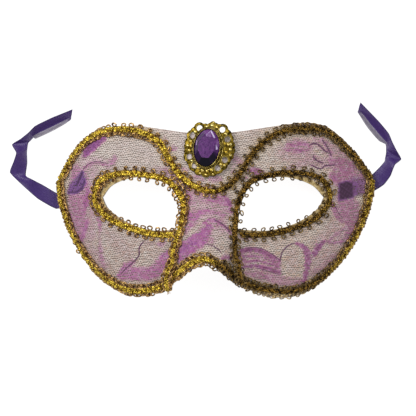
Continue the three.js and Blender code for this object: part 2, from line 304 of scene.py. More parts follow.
def sheet_cutter():
    """A closed block with the sheet's outline and the two eye openings."""
    flat = bpy.data.curves.new("cutter", "CURVE")
    flat.dimensions = "2D"
    flat.fill_mode = "BOTH"
    flat.extrude = 0.01
    for loop in (rim, *eye_rims):
        line = flat.splines.new("POLY")
        line.points.add(len(loop) - 1)
        line.use_cyclic_u = True
        for point, (x, y) in zip(line.points, loop * 0.001):
            point.co = (x, y, 0, 1)
    cutter = bpy.data.objects.new("cutter", flat)
    bpy.context.collection.objects.link(cutter)
    only(cutter)
    bpy.ops.object.convert(target="MESH")
    bpy.ops.object.mode_set(mode="EDIT")
    bpy.ops.mesh.select_all(action="SELECT")
    bpy.ops.mesh.remove_doubles(threshold=1e-6)
    bpy.ops.mesh.normals_make_consistent(inside=False)
    bpy.ops.object.mode_set(mode="OBJECT")
    return bpy.context.object


# The blank is a flat slab one millimetre thick, cut out and then pressed
bpy.ops.mesh.primitive_grid_add(
    x_subdivisions=round(BLANK_WIDTH / SHEET_CELL), y_subdivisions=round(BLANK_LENGTH / SHEET_CELL),
    size=1)
shell = bpy.context.object
shell.name = shell.data.name = "shell"
bpy.ops.object.mode_set(mode="EDIT")
bpy.ops.transform.resize(value=(BLANK_WIDTH / 1000, BLANK_LENGTH / 1000, 1))
bpy.ops.mesh.extrude_region_move(TRANSFORM_OT_translate={"value": (0, 0, -0.001)})
bpy.ops.mesh.select_all(action="SELECT")
bpy.ops.mesh.normals_make_consistent(inside=False)
bpy.ops.object.mode_set(mode="OBJECT")
cutter = sheet_cutter()
worked_on(shell, "BOOLEAN", operation="INTERSECT", solver="EXACT", object=cutter)
bpy.data.objects.remove(cutter)

blank = np.array([v.co for v in shell.data.vertices])
depth = np.where(blank[:, 2] > -0.0005, SHELL_OUTER, SHELL_INNER)
pressed = off_face(blank[:, 0] * 1000, blank[:, 1] * 1000, -depth)
shell.data.vertices.foreach_set("co", pressed.ravel())
bpy.ops.object.shade_smooth_by_angle(angle=math.radians(40))

# Painted shade: the frosted sheet is given a dark warm brown and a high alpha, so what shows
# through it looks like the shadowed table under the mask.
plastic = Finish("frosted_plastic_painted_shade", Alpha=0.72, IOR=1.46, Specular_IOR_Level=0.4)
place = plastic.place()
frost = plastic.noise(place, 900, 3)
cloud = plastic.noise(place, 45, 2)
plastic.gives("Roughness", plastic.between(frost, 0.3, 0.7, 0.26, 0.44))
plastic.gives("Base Color", plastic.blend(cloud, (0.26, 0.19, 0.14), (0.33, 0.26, 0.21)))
plastic.relief(cloud, 0.12, 0.0006)
shell.data.materials.clear()
shell.data.materials.append(plastic.material)
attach(shell, "root")
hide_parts("mask_shell")

# The two ties
# Each is a length of violet satin ribbon, 9.5 mm wide, glued flat inside the shell at one side.
# It comes out from under the rim, lies on the table and curls back towards the forehead.

RIBBON_WIDTH = 9.5
RIBBON_THICKNESS = 0.24
RIBBON_COLUMNS = 12
RIBBON_CROWN = 0.7
UNDER_FACE = 2.6
CRISPNESS = 0.55
WARP_PITCH = 0.22
WEFT_PITCH = 0.3

# Stations: outer edge as x, y and height, inner edge as x, y and height, held to the wall (1) or
# free (0), and how far the inner edge is rolled over to show its back, which is painted pale as a
# satin sheen
LEFT_TIE = [
    (-76.7, 10, 0.4, -81.3, 18.4, 0.4, 1, 0), (-84.5, 6.6, 0.4, -88, 15.4, 0.4, 1, 0),
    (-91.6, 1.5, 0.4, -92.4, 10.8, 0.4, 0.45, 0), (-97.6, 0.1, 0.4, -95.8, 9.2, 0.9, 0, 0),
    (-108.9, 6.2, 0.4, -105.5, 14.7, 1.6, 0, 0), (-118.3, 14.4, 0.4, -112, 18.3, 4.6, 0, 0),
    (-126.4, 22.6, 0.8, -116.5, 20.6, 0.4, 0, 0), (-122.8, 29.3, 5.6, -115.6, 28.3, 0.4, 0, 0),
    (-121, 34.2, 6.8, -115.8, 35.2, 0.4, 0, 0), (-125, 39.6, 1.2, -114.6, 40.3, 2.2, 0, 0),
    (-118.6, 42.9, 5.2, -113.7, 41.8, 0.4, 0, 0), (-113.6, 46.5, 6.4, -111.4, 43.8, 0.4, 0, 0.5),
    (-109.8, 50.7, 4.6, -109.9, 43.1, 0.4, 0, 1), (-99.7, 55.6, 4.6, -98.4, 48.3, 0.4, 0, 1),
    (-92.4, 58.3, 5.6, -91.2, 52.4, 0.4, 0, 0.8), (-86.2, 60.7, 6.2, -88.5, 54.7, 0.4, 0, 0.1),
]
RIGHT_TIE = [
    (75.4, 6.4, 0.4, 73.6, 15.6, 0.4, 1, 0), (82.9, 8, 0.4, 81.1, 17.2, 0.4, 1, 0),
    (91, 9.8, 0.4, 89, 19.2, 0.4, 0.5, 0), (97.1, 11.2, 0.4, 94.9, 20.6, 0.4, 0, 0),
    (102.4, 14.7, 0.8, 97.2, 22.6, 0.4, 0, 0), (106.1, 19.7, 3.6, 100.2, 25.6, 0.4, 0, 0),
    (107.7, 24, 6.4, 102.7, 28.6, 0.4, 0, 0), (108.9, 26.5, 5.8, 103, 30.6, 0.8, 0, 0),
    (112.6, 29.8, 0.8, 103.4, 33, 2.6, 0, 0), (109.5, 35.2, 6, 103.6, 36.3, 0.6, 0, 0),
    (106.9, 40.4, 6.6, 103.2, 38.8, 0.4, 0, 0.5), (105.1, 45, 5, 99.3, 40.8, 0.4, 0, 1),
    (98.9, 52.6, 4.6, 92.7, 48.5, 0.4, 0, 1), (92.7, 59, 5.6, 88.3, 55.3, 0.4, 0, 0.8),
    (88.3, 63.6, 6, 86.7, 58, 0.4, 0, 0.1),
]
# Where the roll turns up again, across the ribbon from -1 to 1, and the heights of its two edges
ROLL_START = 0.25
ROLL_LOW = 0.3
ROLL_RISE = 2.2


def add_piece(name, vertices, faces, material):
    """A smooth piece from its points and faces."""
    mesh = bpy.data.meshes.new(name)
    mesh.from_pydata([tuple(v) for v in vertices], [], [tuple(f) for f in faces])
    mesh.update()
    piece = bpy.data.objects.new(name, mesh)
    bpy.context.collection.objects.link(piece)
    mesh.materials.append(material)
    mesh.polygons.foreach_set("use_smooth", [True] * len(mesh.polygons))
    return piece


def hold_value(piece, name, values, where="POINT"):
    """Gives a piece's points or faces a value of their own, for its finish to read."""
    piece.data.attributes.new(name, "FLOAT", where).data.foreach_set("value", values)


def tie(name, stations):
    """A ribbon through its stations, and the line down its middle."""
    soft = spline(stations, 6)
    at = np.linspace(0, len(stations) - 1, len(soft))
    crisp = np.stack([np.interp(at, range(len(stations)), v) for v in np.array(stations).T], -1)
    rows = (1 - CRISPNESS) * soft + CRISPNESS * crisp
    part = np.linspace(-1, 1, RIBBON_COLUMNS + 1)
    outer, inner = rows[:, None, 0:3], rows[:, None, 3:6]
    hold = np.clip(rows[:, 6], 0, 1)[:, None]
    rolled = np.clip(rows[:, 7], 0, 1)[:, None]
    points = outer + (inner - outer) * (part[None, :, None] + 1) / 2
    down = outer[..., 2] + (ROLL_LOW - outer[..., 2]) * (part + 1) / (ROLL_START + 1)
    back_up = ROLL_LOW + ROLL_RISE * (part - ROLL_START) / (1 - ROLL_START)
    points[..., 2] += (np.where(part < ROLL_START, down, back_up) - points[..., 2]) * rolled
    wall = face_height(points[..., 0], points[..., 1]) - UNDER_FACE
    points[..., 2] += (wall - points[..., 2]) * hold
    up = np.cross(np.gradient(points, axis=0), np.gradient(points, axis=1))
    up *= np.sign(up[..., 2:]) / np.linalg.norm(up, axis=-1, keepdims=True)
    slope = np.abs(outer[..., 2] - inner[..., 2]) / RIBBON_WIDTH
    bow = RIBBON_CROWN * (1 - part**2) * (1 - hold) * (1 - rolled) * np.clip(slope * 2, 0, 1)
    points = points + up * bow[..., None]
    middle = RIBBON_COLUMNS // 2
    way = way_along(points[:, middle])
    points = (points + FRAME_SHIFT) * 0.001
    across = RIBBON_COLUMNS + 1
    faces = [
        (i * across + j, i * across + j + 1, (i + 1) * across + j + 1, (i + 1) * across + j)
        for i in range(len(rows) - 1) for j in range(RIBBON_COLUMNS)
    ]
    ribbon = add_piece(name, points.reshape(-1, 3), faces, satin.material)
    corners = np.zeros(len(ribbon.data.loops), int)
    ribbon.data.loops.foreach_get("vertex_index", corners)
    cloth = np.array([(w / 100, (p + 1) * RIBBON_WIDTH / 200) for w in way for p in part])
    layer = ribbon.data.uv_layers.new(name="cloth")
    layer.data.foreach_set("uv", cloth[corners].ravel())
    # Where the inner edge rolls over, the back is marked for its pale painted sheen
    hold_value(ribbon, "pale_back_and_sheen", (rolled * ease((part - ROLL_START + 0.08) / 0.16)).ravel())
    worked_on(ribbon, "SOLIDIFY", thickness=RIBBON_THICKNESS * 0.001, offset=0)
    return ribbon, points[:, middle], way[-1] * 0.001


# The cloth's own map is in units of 100 mm, along the ribbon and across it
satin = Finish(
    "violet_satin", Sheen_Weight=0.2, Sheen_Roughness=0.35, Sheen_Tint=(0.5, 0.45, 0.7, 1),
    Anisotropic=0.6, Specular_IOR_Level=0.5)
cloth = satin.cloth_place("cloth")
streak = satin.noise(satin.stretched(cloth, (1.0, 22.0, 1.0)), 26, 3, 0.6)
along, across, _ = satin.parts_of(cloth)
warp = satin.maths("SINE", satin.maths("MULTIPLY", across, 100 * 2 * math.pi / WARP_PITCH))
weft = satin.maths("SINE", satin.maths("MULTIPLY", along, 100 * 2 * math.pi / WEFT_PITCH))
from_middle = satin.maths("ABSOLUTE", satin.maths("SUBTRACT", across, RIBBON_WIDTH / 200))
body = satin.tint((0.04, 0.017, 0.12), (0.088, 0.042, 0.225), streak, 0.3, 0.7)
body = satin.tint(body, (0.026, 0.013, 0.08), from_middle, 0.041, 0.046)
# The rolled-over back is painted pale grey-lilac with light streaks: the roll is real, its paleness
# is a painted satin sheen
pale = satin.tint((0.17, 0.15, 0.2), (0.42, 0.39, 0.44), streak, 0.35, 0.65)
satin.gives("Base Color", satin.blend(satin.own("pale_back_and_sheen"), body, pale))
satin.gives("Roughness", satin.between(streak, 0.2, 0.8, 0.3, 0.46))
satin.relief(satin.maths("MULTIPLY", warp, weft), 0.25, 0.00006)

ribbon_left, left_path, left_length = tie("tie_left", LEFT_TIE)
ribbon_right, right_path, right_length = tie("tie_right", RIGHT_TIE)
for ribbon, path, length, node_name, gap in (
    (ribbon_left, left_path, left_length, "ribbon_left", (-0.0935, 0.0045, 0.0015)),
    (ribbon_right, right_path, right_length, "ribbon_right", (0.0942, 0.0144, 0.0015)),
):
    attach(ribbon, "root")
    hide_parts(node_name)
    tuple(gap)
    [tuple(p) for p in path]

# The lace
# One piece of cream net with a mauve figure, stretched over the shell and glued down to its cut
# edges. Its six-sided meshes are real openings, which close up where the figure is woven in.

MESH_PITCH = 1.5
ROW_PITCH = 1.19
NET_HALF_WIDTH = 112
NET_HALF_LENGTH = 60
NET_OPENING = 0.56
WIDEST_OPENING = 0.88
THREAD_DROP = 0.2
HEM = 3.0
HEM_FADE = 0.8
RIB_PITCH = 1.65
WOVEN_SHUT = 0.56
JEWEL_GLUE = (15, 17)
JEWEL_Y = 35.3

# The woven figure in millimetres. Each stroke has its depth of dye, the width of its soft edge and
# its line as x, y and half width. One of negative depth leaves a light band in those before it.
FIGURE = [
    # Left side
    (1.6, 2.8, [(-78.6, 31.8, 1), (-75.6, 35.4, 2.6), (-72, 38.6, 2.8), (-68.4, 40.8, 2.2),
                (-65, 42.4, 1)]),
    (0.3, 5, [(-87, 22, 2), (-82, 27, 3.4), (-76, 29.6, 3), (-69, 29.6, 2.4), (-63, 27.6, 2)]),
    (0.66, 3.6, [(-84, 25, 2.6), (-81.4, 18, 6.2), (-80.6, 10, 7.6), (-81.4, 2, 6.8), (-82, -5, 6),
                 (-81, -12, 5.2), (-80.4, -19, 2.4)]),
    (0.9, 3, [(-76.6, 17, 1.6), (-75.4, 11, 2), (-76.4, 4, 2), (-79, -3, 1.6)]),
    (0.95, 3, [(-75.4, -6, 1), (-77.2, -11, 2), (-79.4, -17.4, 1.8)]),
    (0.56, 4, [(-77, 21, 2.6), (-74.6, 13, 3), (-74.6, 4, 3)]),
    (0.36, 5, [(-72, 25, 4), (-71, 17, 3), (-71.6, 6, 3), (-73, -6, 3.6), (-74, -16, 4)]),
    (0.66, 2.6, [(-80, 21, 1.6), (-77, 25, 2), (-73, 27.4, 1.8), (-68, 27.6, 1.5),
                 (-63, 26.8, 1.4)]),
    (0.62, 2.8, [(-62, 25.6, 1.4), (-59.8, 28, 2.6), (-57.4, 30.8, 1.4)]),
    (0.66, 2.4, [(-69, -3.4, 1), (-67.6, -7.5, 1.9), (-67.4, -12, 1.2)]),
    (0.42, 3, [(-67.4, -11, 1.1), (-67.8, -17, 1.1), (-67.2, -24, 1.5)]),
    (0.62, 2.8, [(-67.6, -23, 1.3), (-67.2, -29, 2.1), (-65.4, -35, 1.4)]),
    (0.3, 6, [(-78, -20, 3), (-73, -27, 4.4), (-66, -34, 4.6)]),
    (0.17, 6, [(-64, -14, 4), (-56, -20, 5), (-50, -26, 5)]),
    (0.78, 3, [(-57, -41, 1), (-52, -39, 3.6), (-46, -38.4, 4.2), (-39, -38.6, 4.2),
               (-33, -37, 4.2), (-28, -32, 4), (-24.6, -27.6, 2.6)]),
    (0.9, 2.4, [(-56.6, -40, 0.9), (-53, -36.8, 1.9), (-49.6, -33.6, 2.1), (-46.2, -31.6, 1.2)]),
    (0.85, 2.6, [(-42, -36.4, 1), (-36.5, -36, 2), (-31, -35, 1.2)]),
    (1.0, 2.4, [(-29.4, -29, 1.2), (-26.4, -27.2, 2), (-23.8, -25.6, 1.6)]),
    (-0.6, 2.2, [(-44.4, -33.2, 0.3), (-40, -32.4, 0.8), (-34, -31.2, 0.6)]),
    (0.3, 3, [(-39, -19.6, 1), (-34, -20.6, 1.4)]),
    (0.6, 2.6, [(-31, -21, 1), (-28.4, -20.6, 1.8), (-26, -20, 1)]),
    # Between the braids and on the forehead
    (0.3, 5, [(-34, 23, 2), (-27, 22, 3), (-20, 16, 3), (-14, 12, 2.4)]),
    (0.55, 2.6, [(-29, 23.6, 1.1), (-24.6, 22.6, 2), (-21, 18.6, 1.8), (-16.4, 14, 1.8)]),
    (0.62, 2, [(-23.4, 34.8, 1), (-21.4, 36, 1.8), (-19.6, 35.4, 0.9)]),
    (0.42, 2.4, [(-27, 42, 0.9), (-25.4, 40, 1.4)]),
    (0.5, 2, [(-15.6, 24, 1), (-13.4, 22.6, 1.5)]),
    (0.5, 2.6, [(-10.4, 19.4, 1.1), (-7.6, 18.8, 1.6), (-3.4, 16.8, 1.3)]),
    (0.55, 2.6, [(0.6, 17.2, 1.1), (4.4, 17.6, 2.3), (7.4, 17.4, 1.1)]),
    (0.55, 2.8, [(14, 29.6, 1.8), (16.4, 28.2, 2.9), (19.6, 26.6, 1.2)]),
    (0.42, 2.6, [(14.6, 26, 1.1), (14, 21.4, 1.4)]),
    # Nose
    (0.5, 5, [(-9, 11, 4), (-4, 4, 8), (0, -3, 10), (2, -10, 9), (2, -15, 6)]),
    (0.5, 4, [(-12, 14, 2), (-6, 9.4, 4), (1, 8, 5), (8, 5, 5), (11, -1, 4)]),
    (0.5, 3, [(-12.6, 2, 2), (-12, -6, 2.4), (-12.6, -14, 2)]),
    (0.66, 3, [(-12.6, 13, 1.6), (-11.4, 8, 2.2), (-10.6, 3, 1.8)]),
    (0.8, 3, [(1, 5.6, 2.4), (5, 5, 3.4), (9, 4, 3.4), (12.4, 2.4, 2)]),
    (1.3, 1.8, [(8.6, 8, 0.6), (11.6, 4.4, 1.1), (13.4, -1.4, 0.8)]),
    (0.8, 2.4, [(-2, -0.8, 1.3), (3, -1.4, 2), (7, -3, 1.4), (10.4, -3.6, 1)]),
    (0.9, 2.6, [(-12.4, -2, 1.6), (-9.6, -4.6, 2.6), (-6, -3.4, 2.4), (-2, -1.8, 1.6)]),
    (0.7, 2.6, [(-13, -12.4, 1.4), (-9.8, -9.4, 2), (-6.6, -6.6, 1.7)]),
    (-0.45, 2, [(-9, 0.8, 0.8), (-4, 2, 1), (0, 1.2, 0.8), (4, -0.4, 0.4)]),
    (1.0, 2.8, [(-15.8, -30, 2), (-14.6, -26.4, 3.4), (-12, -22.8, 4.4), (-8, -20, 4.8),
                (-4, -17.4, 4.6), (-1, -14, 3.4), (1.4, -10.6, 2.6)]),
    (1.2, 2.4, [(-16, -27.6, 1.4), (-13.4, -23.6, 2.2), (-9, -21, 2), (-4.6, -18.6, 1.4)]),
    (0.8, 1.6, [(2, -6.2, 0.8), (6, -7.8, 1.2), (9.6, -10, 1.2), (13, -13.6, 1.3)]),
    (0.42, 2, [(4, -9.6, 0.6), (8, -12, 0.7), (12.4, -17, 0.7)]),
    (-0.8, 1.6, [(-13, -17.2, 0.4), (-8, -13, 0.8), (-4.4, -8.6, 0.9), (-2.4, -5.8, 0.8),
                 (1, -4.6, 0.4), (6, -4.4, 0.3)]),
    (0.95, 2, [(-2.4, -8.4, 0.8), (0.4, -6.6, 1.3), (4, -6.6, 1.3), (7.4, -8.4, 1.2),
               (10.8, -10.6, 1)]),
    (0.8, 1.8, [(0, -0.8, 0.5), (2.6, -2.2, 0.9), (5.6, -2.6, 0.9), (8, -1.2, 0.5)]),
    (-0.5, 1, [(1, 3.6, 0.3), (5, 2.6, 0.5), (9.4, 1, 0.4)]),
    (-0.5, 1, [(1.6, 0.8, 0.3), (5, 0.6, 0.4), (9, -1.4, 0.3)]),
    (-0.6, 2.6, [(4.6, -13.4, 1.6), (7, -16.6, 3), (9.6, -20.4, 2.4)]),
    (0.8, 2, [(8.4, -28, 0.9), (11, -28, 1.7), (14.6, -28, 1.4)]),
    # Right brow
    (0.95, 2, [(22.4, 23, 0.7), (25.6, 22.8, 1.9), (28.4, 21.8, 2.1), (31, 21.8, 0.8)]),
    (0.5, 2.4, [(19.6, 18, 0.9), (21.6, 18.6, 1.3)]),
    (0.36, 6, [(44, 33, 5), (55, 34, 8), (66, 33, 8), (76, 27, 7), (84, 19, 5)]),
    (0.6, 2.6, [(44.6, 35, 1.6), (48, 36.8, 4), (52.4, 37, 4.8), (57.4, 36.4, 3.6),
                (60.6, 36, 1)]),
    (1.2, 1.6, [(46, 38, 0.5), (50, 37.6, 0.8), (54, 38.6, 0.7), (58, 38, 0.4)]),
    (1.2, 1.6, [(45, 34.6, 0.4), (49, 35, 0.7), (53, 34.4, 0.8), (58, 35, 0.5)]),
    (0.4, 2.6, [(47, 31.6, 1.3), (53, 31, 2.2), (59, 31.6, 1.8)]),
    (0.46, 2.8, [(45, 24, 1.2), (50, 25.6, 2.2), (55, 27.4, 2.6), (60, 28, 3), (66, 27.4, 3.4),
                 (71, 27, 3.6)]),
    (0.5, 2.8, [(61, 42, 1.2), (66, 40, 2.4), (70.6, 36.6, 3), (75.4, 33, 3), (80, 29.6, 2.6)]),
    (0.7, 2, [(65.6, 41, 0.9), (68.2, 37.4, 1.4), (69.8, 34, 1.6), (71, 30.6, 1.4)]),
    (0.6, 1.8, [(60, 31.8, 0.9), (62.4, 29.2, 1.2), (65.6, 27.4, 1.2)]),
    (-0.75, 1.6, [(61.4, 35.4, 0.8), (63.4, 33.4, 1.4), (66, 31.4, 0.9)]),
    (0.8, 3, [(71, 28, 2.4), (76.4, 27, 4.2), (81, 24, 4.8), (80, 19, 5.2), (75, 17.6, 4.2),
              (72, 20, 2.4)]),
    (1.1, 1.8, [(72, 24.4, 0.6), (76, 23, 1.1), (80, 22.4, 1)]),
    (1.1, 1.8, [(71, 20, 0.8), (74, 18, 1.3), (77, 17.4, 0.8)]),
    (0.62, 3, [(84, 29, 1.8), (86.6, 23.4, 2.6), (88.6, 18, 3), (88.8, 11, 2.8)]),
    # Right side
    (0.74, 4, [(79, 7, 5), (81, 0, 6), (83, -8, 4.4), (81, -15, 3)]),
    (0.68, 2.6, [(86, 4, 1.6), (86.4, -3, 2.2), (84.6, -8.4, 1.8)]),
    (0.78, 1.8, [(71.6, 4.6, 1.2), (72.8, 0.6, 1.7), (74.6, -3.6, 1.8), (76.8, -6.8, 1.6),
                 (80, -7.6, 1.2)]),
    (0.5, 1.6, [(76, 1.8, 0.5), (79, -3, 0.7), (82, -8, 0.9)]),
    (0.64, 2, [(81, -7, 1.4), (83.4, -10, 2), (83.4, -13.6, 1.6)]),
    (0.8, 1.6, [(67.2, -18.8, 0.9), (71, -19.8, 1.3), (76, -19.4, 1.5), (80.8, -17.6, 1.1)]),
    (0.7, 1.8, [(70, -18.4, 0.8), (72.6, -16.2, 1.2), (75.8, -13.6, 1.4), (79, -12, 1.3),
                (82.6, -12.6, 1.2)]),
    (0.46, 2.4, [(74.6, -17.2, 1.3), (80, -15.8, 1.6)]),
    (1.2, 1.5, [(60.2, -28, 1), (61.8, -25.4, 1.7), (63.8, -22.4, 1.8), (65.8, -20, 1.3),
                (67.4, -18.8, 0.7)]),
    (0.32, 5, [(61, -33, 2.4), (66, -29, 4), (72, -25, 4.2), (78, -22, 2)]),
    # Right cheek leaf, which ends at the open ring
    (0.72, 1.8, [(20, -28, 4.6), (26, -28.4, 5.6), (32, -30.4, 5.8), (38, -33, 5),
                 (41.6, -34.4, 4.4)]),
    (1.35, 1.6, [(19.6, -24.4, 1.2), (25, -23.8, 1.5), (30, -24.8, 1.4), (35, -27.2, 1.3),
                 (41.6, -31, 0.9)]),
    (1.35, 1.3, [(20, -27.8, 0.5), (26, -27.6, 0.7), (33, -29.4, 0.7), (41.4, -33, 0.5)]),
    (1.35, 1.3, [(21, -30.6, 0.5), (28, -30.4, 0.7), (34, -32, 0.7), (41.4, -35, 0.5)]),
    (1.45, 1.4, [(20.2, -33.8, 0.9), (25, -33.2, 0.9), (30, -33.6, 1.1), (35, -35, 1.1),
                 (41.6, -37.4, 0.9)]),
    (-0.7, 1.2, [(21, -26.2, 0.4), (27, -26, 0.7), (34, -28, 0.4)]),
    (-0.7, 1.2, [(22, -29.2, 0.5), (29, -29, 0.7), (36, -31.4, 0.4)]),
    (-0.7, 1.2, [(22, -32.2, 0.5), (30, -32, 0.7), (37, -34.2, 0.4)]),
    (-0.9, 0.9, [(44.8, -26.6, 2.4), (44.6, -30, 2.8), (44.6, -34, 2.8), (44.8, -38.4, 2.6)]),
    (0.6, 3, [(22, -37.4, 1.8), (29, -38.6, 3), (34, -40, 3.4), (39, -41.4, 3.4), (45, -42.8, 3),
              (53, -43, 2.4)]),
    (0.8, 1.8, [(29, -38.4, 0.7), (32.4, -39.4, 1), (37, -40, 1)]),
    (0.18, 4, [(48, -26, 4), (49, -34, 4.4)]),
    (0.5, 3, [(60, -38, 2.4), (66, -34, 3), (73, -28, 3)]),
    (0.3, 6, [(62, -20, 3), (72, -12, 4), (80, -3, 5)]),
    (1.1, 1.5, [(49.8, -20, 0.5), (53.4, -21.2, 1.5), (56, -23.8, 1.9), (57.3, -27, 2),
                (57.4, -31, 1.9), (56.8, -35, 1.8), (56, -38.6, 1.6), (55.2, -42.4, 1.2)]),
    (0.5, 2.2, [(18.4, -16.4, 1), (22.4, -16.8, 1.5), (26.4, -17, 0.8)]),
    (0.36, 2.6, [(41, 51, 1), (50, 51.4, 1.6), (60, 50.4, 1.4), (68, 47.8, 1)]),
]

# Outline threads: half width and line, and the section they all have as across and up
OUTLINE_STEP = 0.7
OUTLINE_SECTION = [(1, -0.05), (0.6, 0.22), (-0.6, 0.22), (-1, -0.05)]
OUTLINES = [
    (0.4, [(-38.4, -18.4), (-41.4, -21.4), (-42.4, -24), (-42.2, -27), (-45, -30.6), (-50, -34.8),
           (-55.4, -39.8)]),
    (0.24, [(-79.6, 22.4), (-76.4, 26), (-72, 28.2), (-67, 28.2), (-62, 27)]),
    (0.5, [(58, 37.2), (60.4, 38.8), (62.6, 38.6), (65, 36.8), (67.4, 34.4), (69.4, 33.4)]),
    (0.46, [(58.6, 26.2), (61, 25.2), (63.4, 24), (65.4, 24), (67.4, 25.6), (70, 25.8),
            (74, 26.4)]),
    (0.4, [(60.2, 32.2), (61.4, 29.8), (63.6, 28.2), (66.8, 27)]),
    (0.4, [(65.4, 41.4), (68.2, 37.6), (70, 34), (71.4, 31)]),
    (0.24, [(19.8, -23.2), (25, -22.4), (30, -23), (35, -25.4), (39, -28.2), (41.4, -30.4)]),
    (0.24, [(27, -34.6), (32, -35.6), (37, -37.4), (41.4, -38.6)]),
    (0.34, [(50.4, -20), (47.6, -20.8), (45, -22.4), (43, -24.8), (41.8, -27.6), (41.4, -31)]),
    (0.26, [(72, 3.8), (73.6, 1), (75.6, -2.6), (78, -5.6)]),
    (0.3, [(-0.8, -20.4), (3, -21), (6, -22.6), (8.6, -25.4)]),
    (0.36, [(3.4, -6), (7.4, -8), (11, -11), (13.4, -14)]),
]

# The glued ends of the ties darken the lace over them: depth, soft edge and outline
TIE_MARKS = [
    (0.5, 3, [(-79, 23.4), (-76.2, 18.4), (-77.6, 13.6), (-81, 9.6), (-86.4, 8.8), (-89.2, 11),
              (-87.4, 15.4), (-83, 19.6)]),
    (1.0, 1.8, [(-79.6, 23), (-77.8, 22.2), (-80.4, 16), (-82.2, 12.6), (-83.4, 15),
                (-81.6, 19.6)]),
    (0.95, 1.6, [(-77.6, 18.6), (-76.2, 16.4), (-78.6, 11.6), (-82, 9.4), (-88.6, 9),
                 (-88.8, 10.8), (-82.6, 11.2), (-79.6, 13.4)]),
    (0.98, 2.2, [(75.4, 4.8), (84.4, 6.8), (84.2, 15.8), (80.2, 16.8), (75.4, 15.2)]),
    (0.6, 3, [(83, 6.8), (87.4, 8), (87.4, 17), (83, 16.6)]),
    (0.42, 4, [(82.6, 6.4), (90.4, 8.8), (91.8, 17.6), (87, 19.4), (82, 18.4)]),
]


def inside(points, loop):
    """True for the points inside a closed loop."""
    x, y = points[:, 0, None], points[:, 1, None]
    ax, ay = loop[:, 0], loop[:, 1]
    bx, by = np.roll(loop, -1, 0).T
    crosses = (ay > y) != (by > y)
    run = np.where(by == ay, 1, by - ay)
    return np.sum(crosses & (x < (bx - ax) * (y - ay) / run + ax), axis=1) % 2 == 1


def nearest_on(points, loops):
    """The nearest point of the loops to each point."""
    a = np.vstack(loops)
    run = np.vstack([np.roll(loop, -1, 0) for loop in loops]) - a
    t = np.einsum("pij,ij->pi", points[:, None] - a, run) / (run**2).sum(1)
    foot = a + np.clip(t, 0, 1)[..., None] * run
    best = np.argmin(((points[:, None] - foot) ** 2).sum(-1), axis=1)
    return foot[np.arange(len(points)), best]


def from_edge(points, loops):
    """Distance to the nearest of the loops, worked out in small batches."""
    parts = np.array_split(points, max(1, len(points) // 4000))
    gaps = [np.linalg.norm(part - nearest_on(part, loops), axis=1) for part in parts]
    return np.concatenate(gaps)


def wander(points, size):
    """A slow uneven wave between about -1 and 1, for edges that aren't drawn with a ruler."""
    x, y = points.T / size
    waves = (1.3 * x + 2.1 * y, 2.9 * x - 1.7 * y + 1, -2.3 * x - 3.1 * y + 4)
    return (np.sin(waves[0]) + np.sin(waves[1]) + np.sin(waves[2])) / 3


def stroke_depth(points, line):
    """How far inside a stroke of changing width each point lies."""
    fine = spline(line, 8)
    gap = np.linalg.norm(points[:, None] - fine[None, :, :2], axis=-1)
    return np.max(fine[:, 2] - gap, axis=1)


def ribs_at(points):
    """The net's wavy ribs across the mask, between about -1 and 1."""
    bend = 0.5 * wander(points, 7) + 0.25 * wander(points, 2.6)
    strength = 0.75 + 0.35 * wander(points, 5)
    return np.sin(2 * math.pi * (points[:, 1] / RIB_PITCH + bend)) * strength


def dye_at(points):
    """Depth of the dye at each point, uneven and stronger on the ribs."""
    dye = 0.06 + 0.05 * wander(points, 9)
    loose = 0.6 * wander(points, 1.7) + 0.4 * wander(points, 0.8)
    for depth, soft, line in FIGURE:
        share = ease((stroke_depth(points, line) + loose) / soft + 0.5)
        dye = np.maximum(dye, depth * share) if depth > 0 else dye * (1 + depth * share)
    return dye * (1 + 0.32 * ribs_at(points) + 0.2 * wander(points * (0.9, 1.8), 1))


def under_jewel(points):
    """One where the glue of the jewel fills the net, and where the thread is painted paler as
    painted light against the plate's shade.
    """
    x, y = points[:, 0] / JEWEL_GLUE[0], (points[:, 1] - JEWEL_Y) / JEWEL_GLUE[1]
    return ease((1 - np.hypot(x, y)) / 0.1)


def tie_mark_at(points):
    mark = np.zeros(len(points))
    for depth, soft, outline in TIE_MARKS:
        loop = np.array(outline, float)
        gap = from_edge(points, [loop])
        share = ease(np.where(inside(points, loop), gap, -gap) / soft + 0.5)
        mark = np.maximum(mark, depth * share)
    return mark * (1 + 0.12 * wander(points, 0.9))


def wrapped(flat):
    """Where the points of the flat net come to lie once it is wrapped round the face."""
    return np.stack([WRAP_RADIUS * np.sin(flat[:, 0] / WRAP_RADIUS), flat[:, 1]], -1)


def lace_net():
    """Six-sided meshes over the whole outline: their shared corners, and which belong to each."""
    last_column, last_row = round(NET_HALF_WIDTH / MESH_PITCH), round(NET_HALF_LENGTH / ROW_PITCH)
    columns = np.arange(-last_column, last_column + 1)
    rows = np.arange(-last_row, last_row + 1)
    u, v = np.meshgrid(columns * MESH_PITCH, rows * ROW_PITCH)
    u = u + (rows % 2)[:, None] * MESH_PITCH / 2
    centres = np.stack([u.ravel(), v.ravel()], -1)
    kept = inside(wrapped(centres), rim)
    for loop in eye_rims:
        kept &= ~inside(wrapped(centres), loop)
    centres = centres[kept]
    turn = np.radians(30 + 60 * np.arange(6))
    ring = np.stack([
        np.cos(turn) * MESH_PITCH / math.sqrt(3), np.sin(turn) * ROW_PITCH * 2 / 3], -1)
    corners = np.round((centres[:, None] + ring).reshape(-1, 2), 3)
    shared, index = np.unique(corners, axis=0, return_inverse=True)
    cells = index.reshape(-1, 6)
    return wrapped(shared), cells, np.bincount(cells.ravel(), minlength=len(shared))


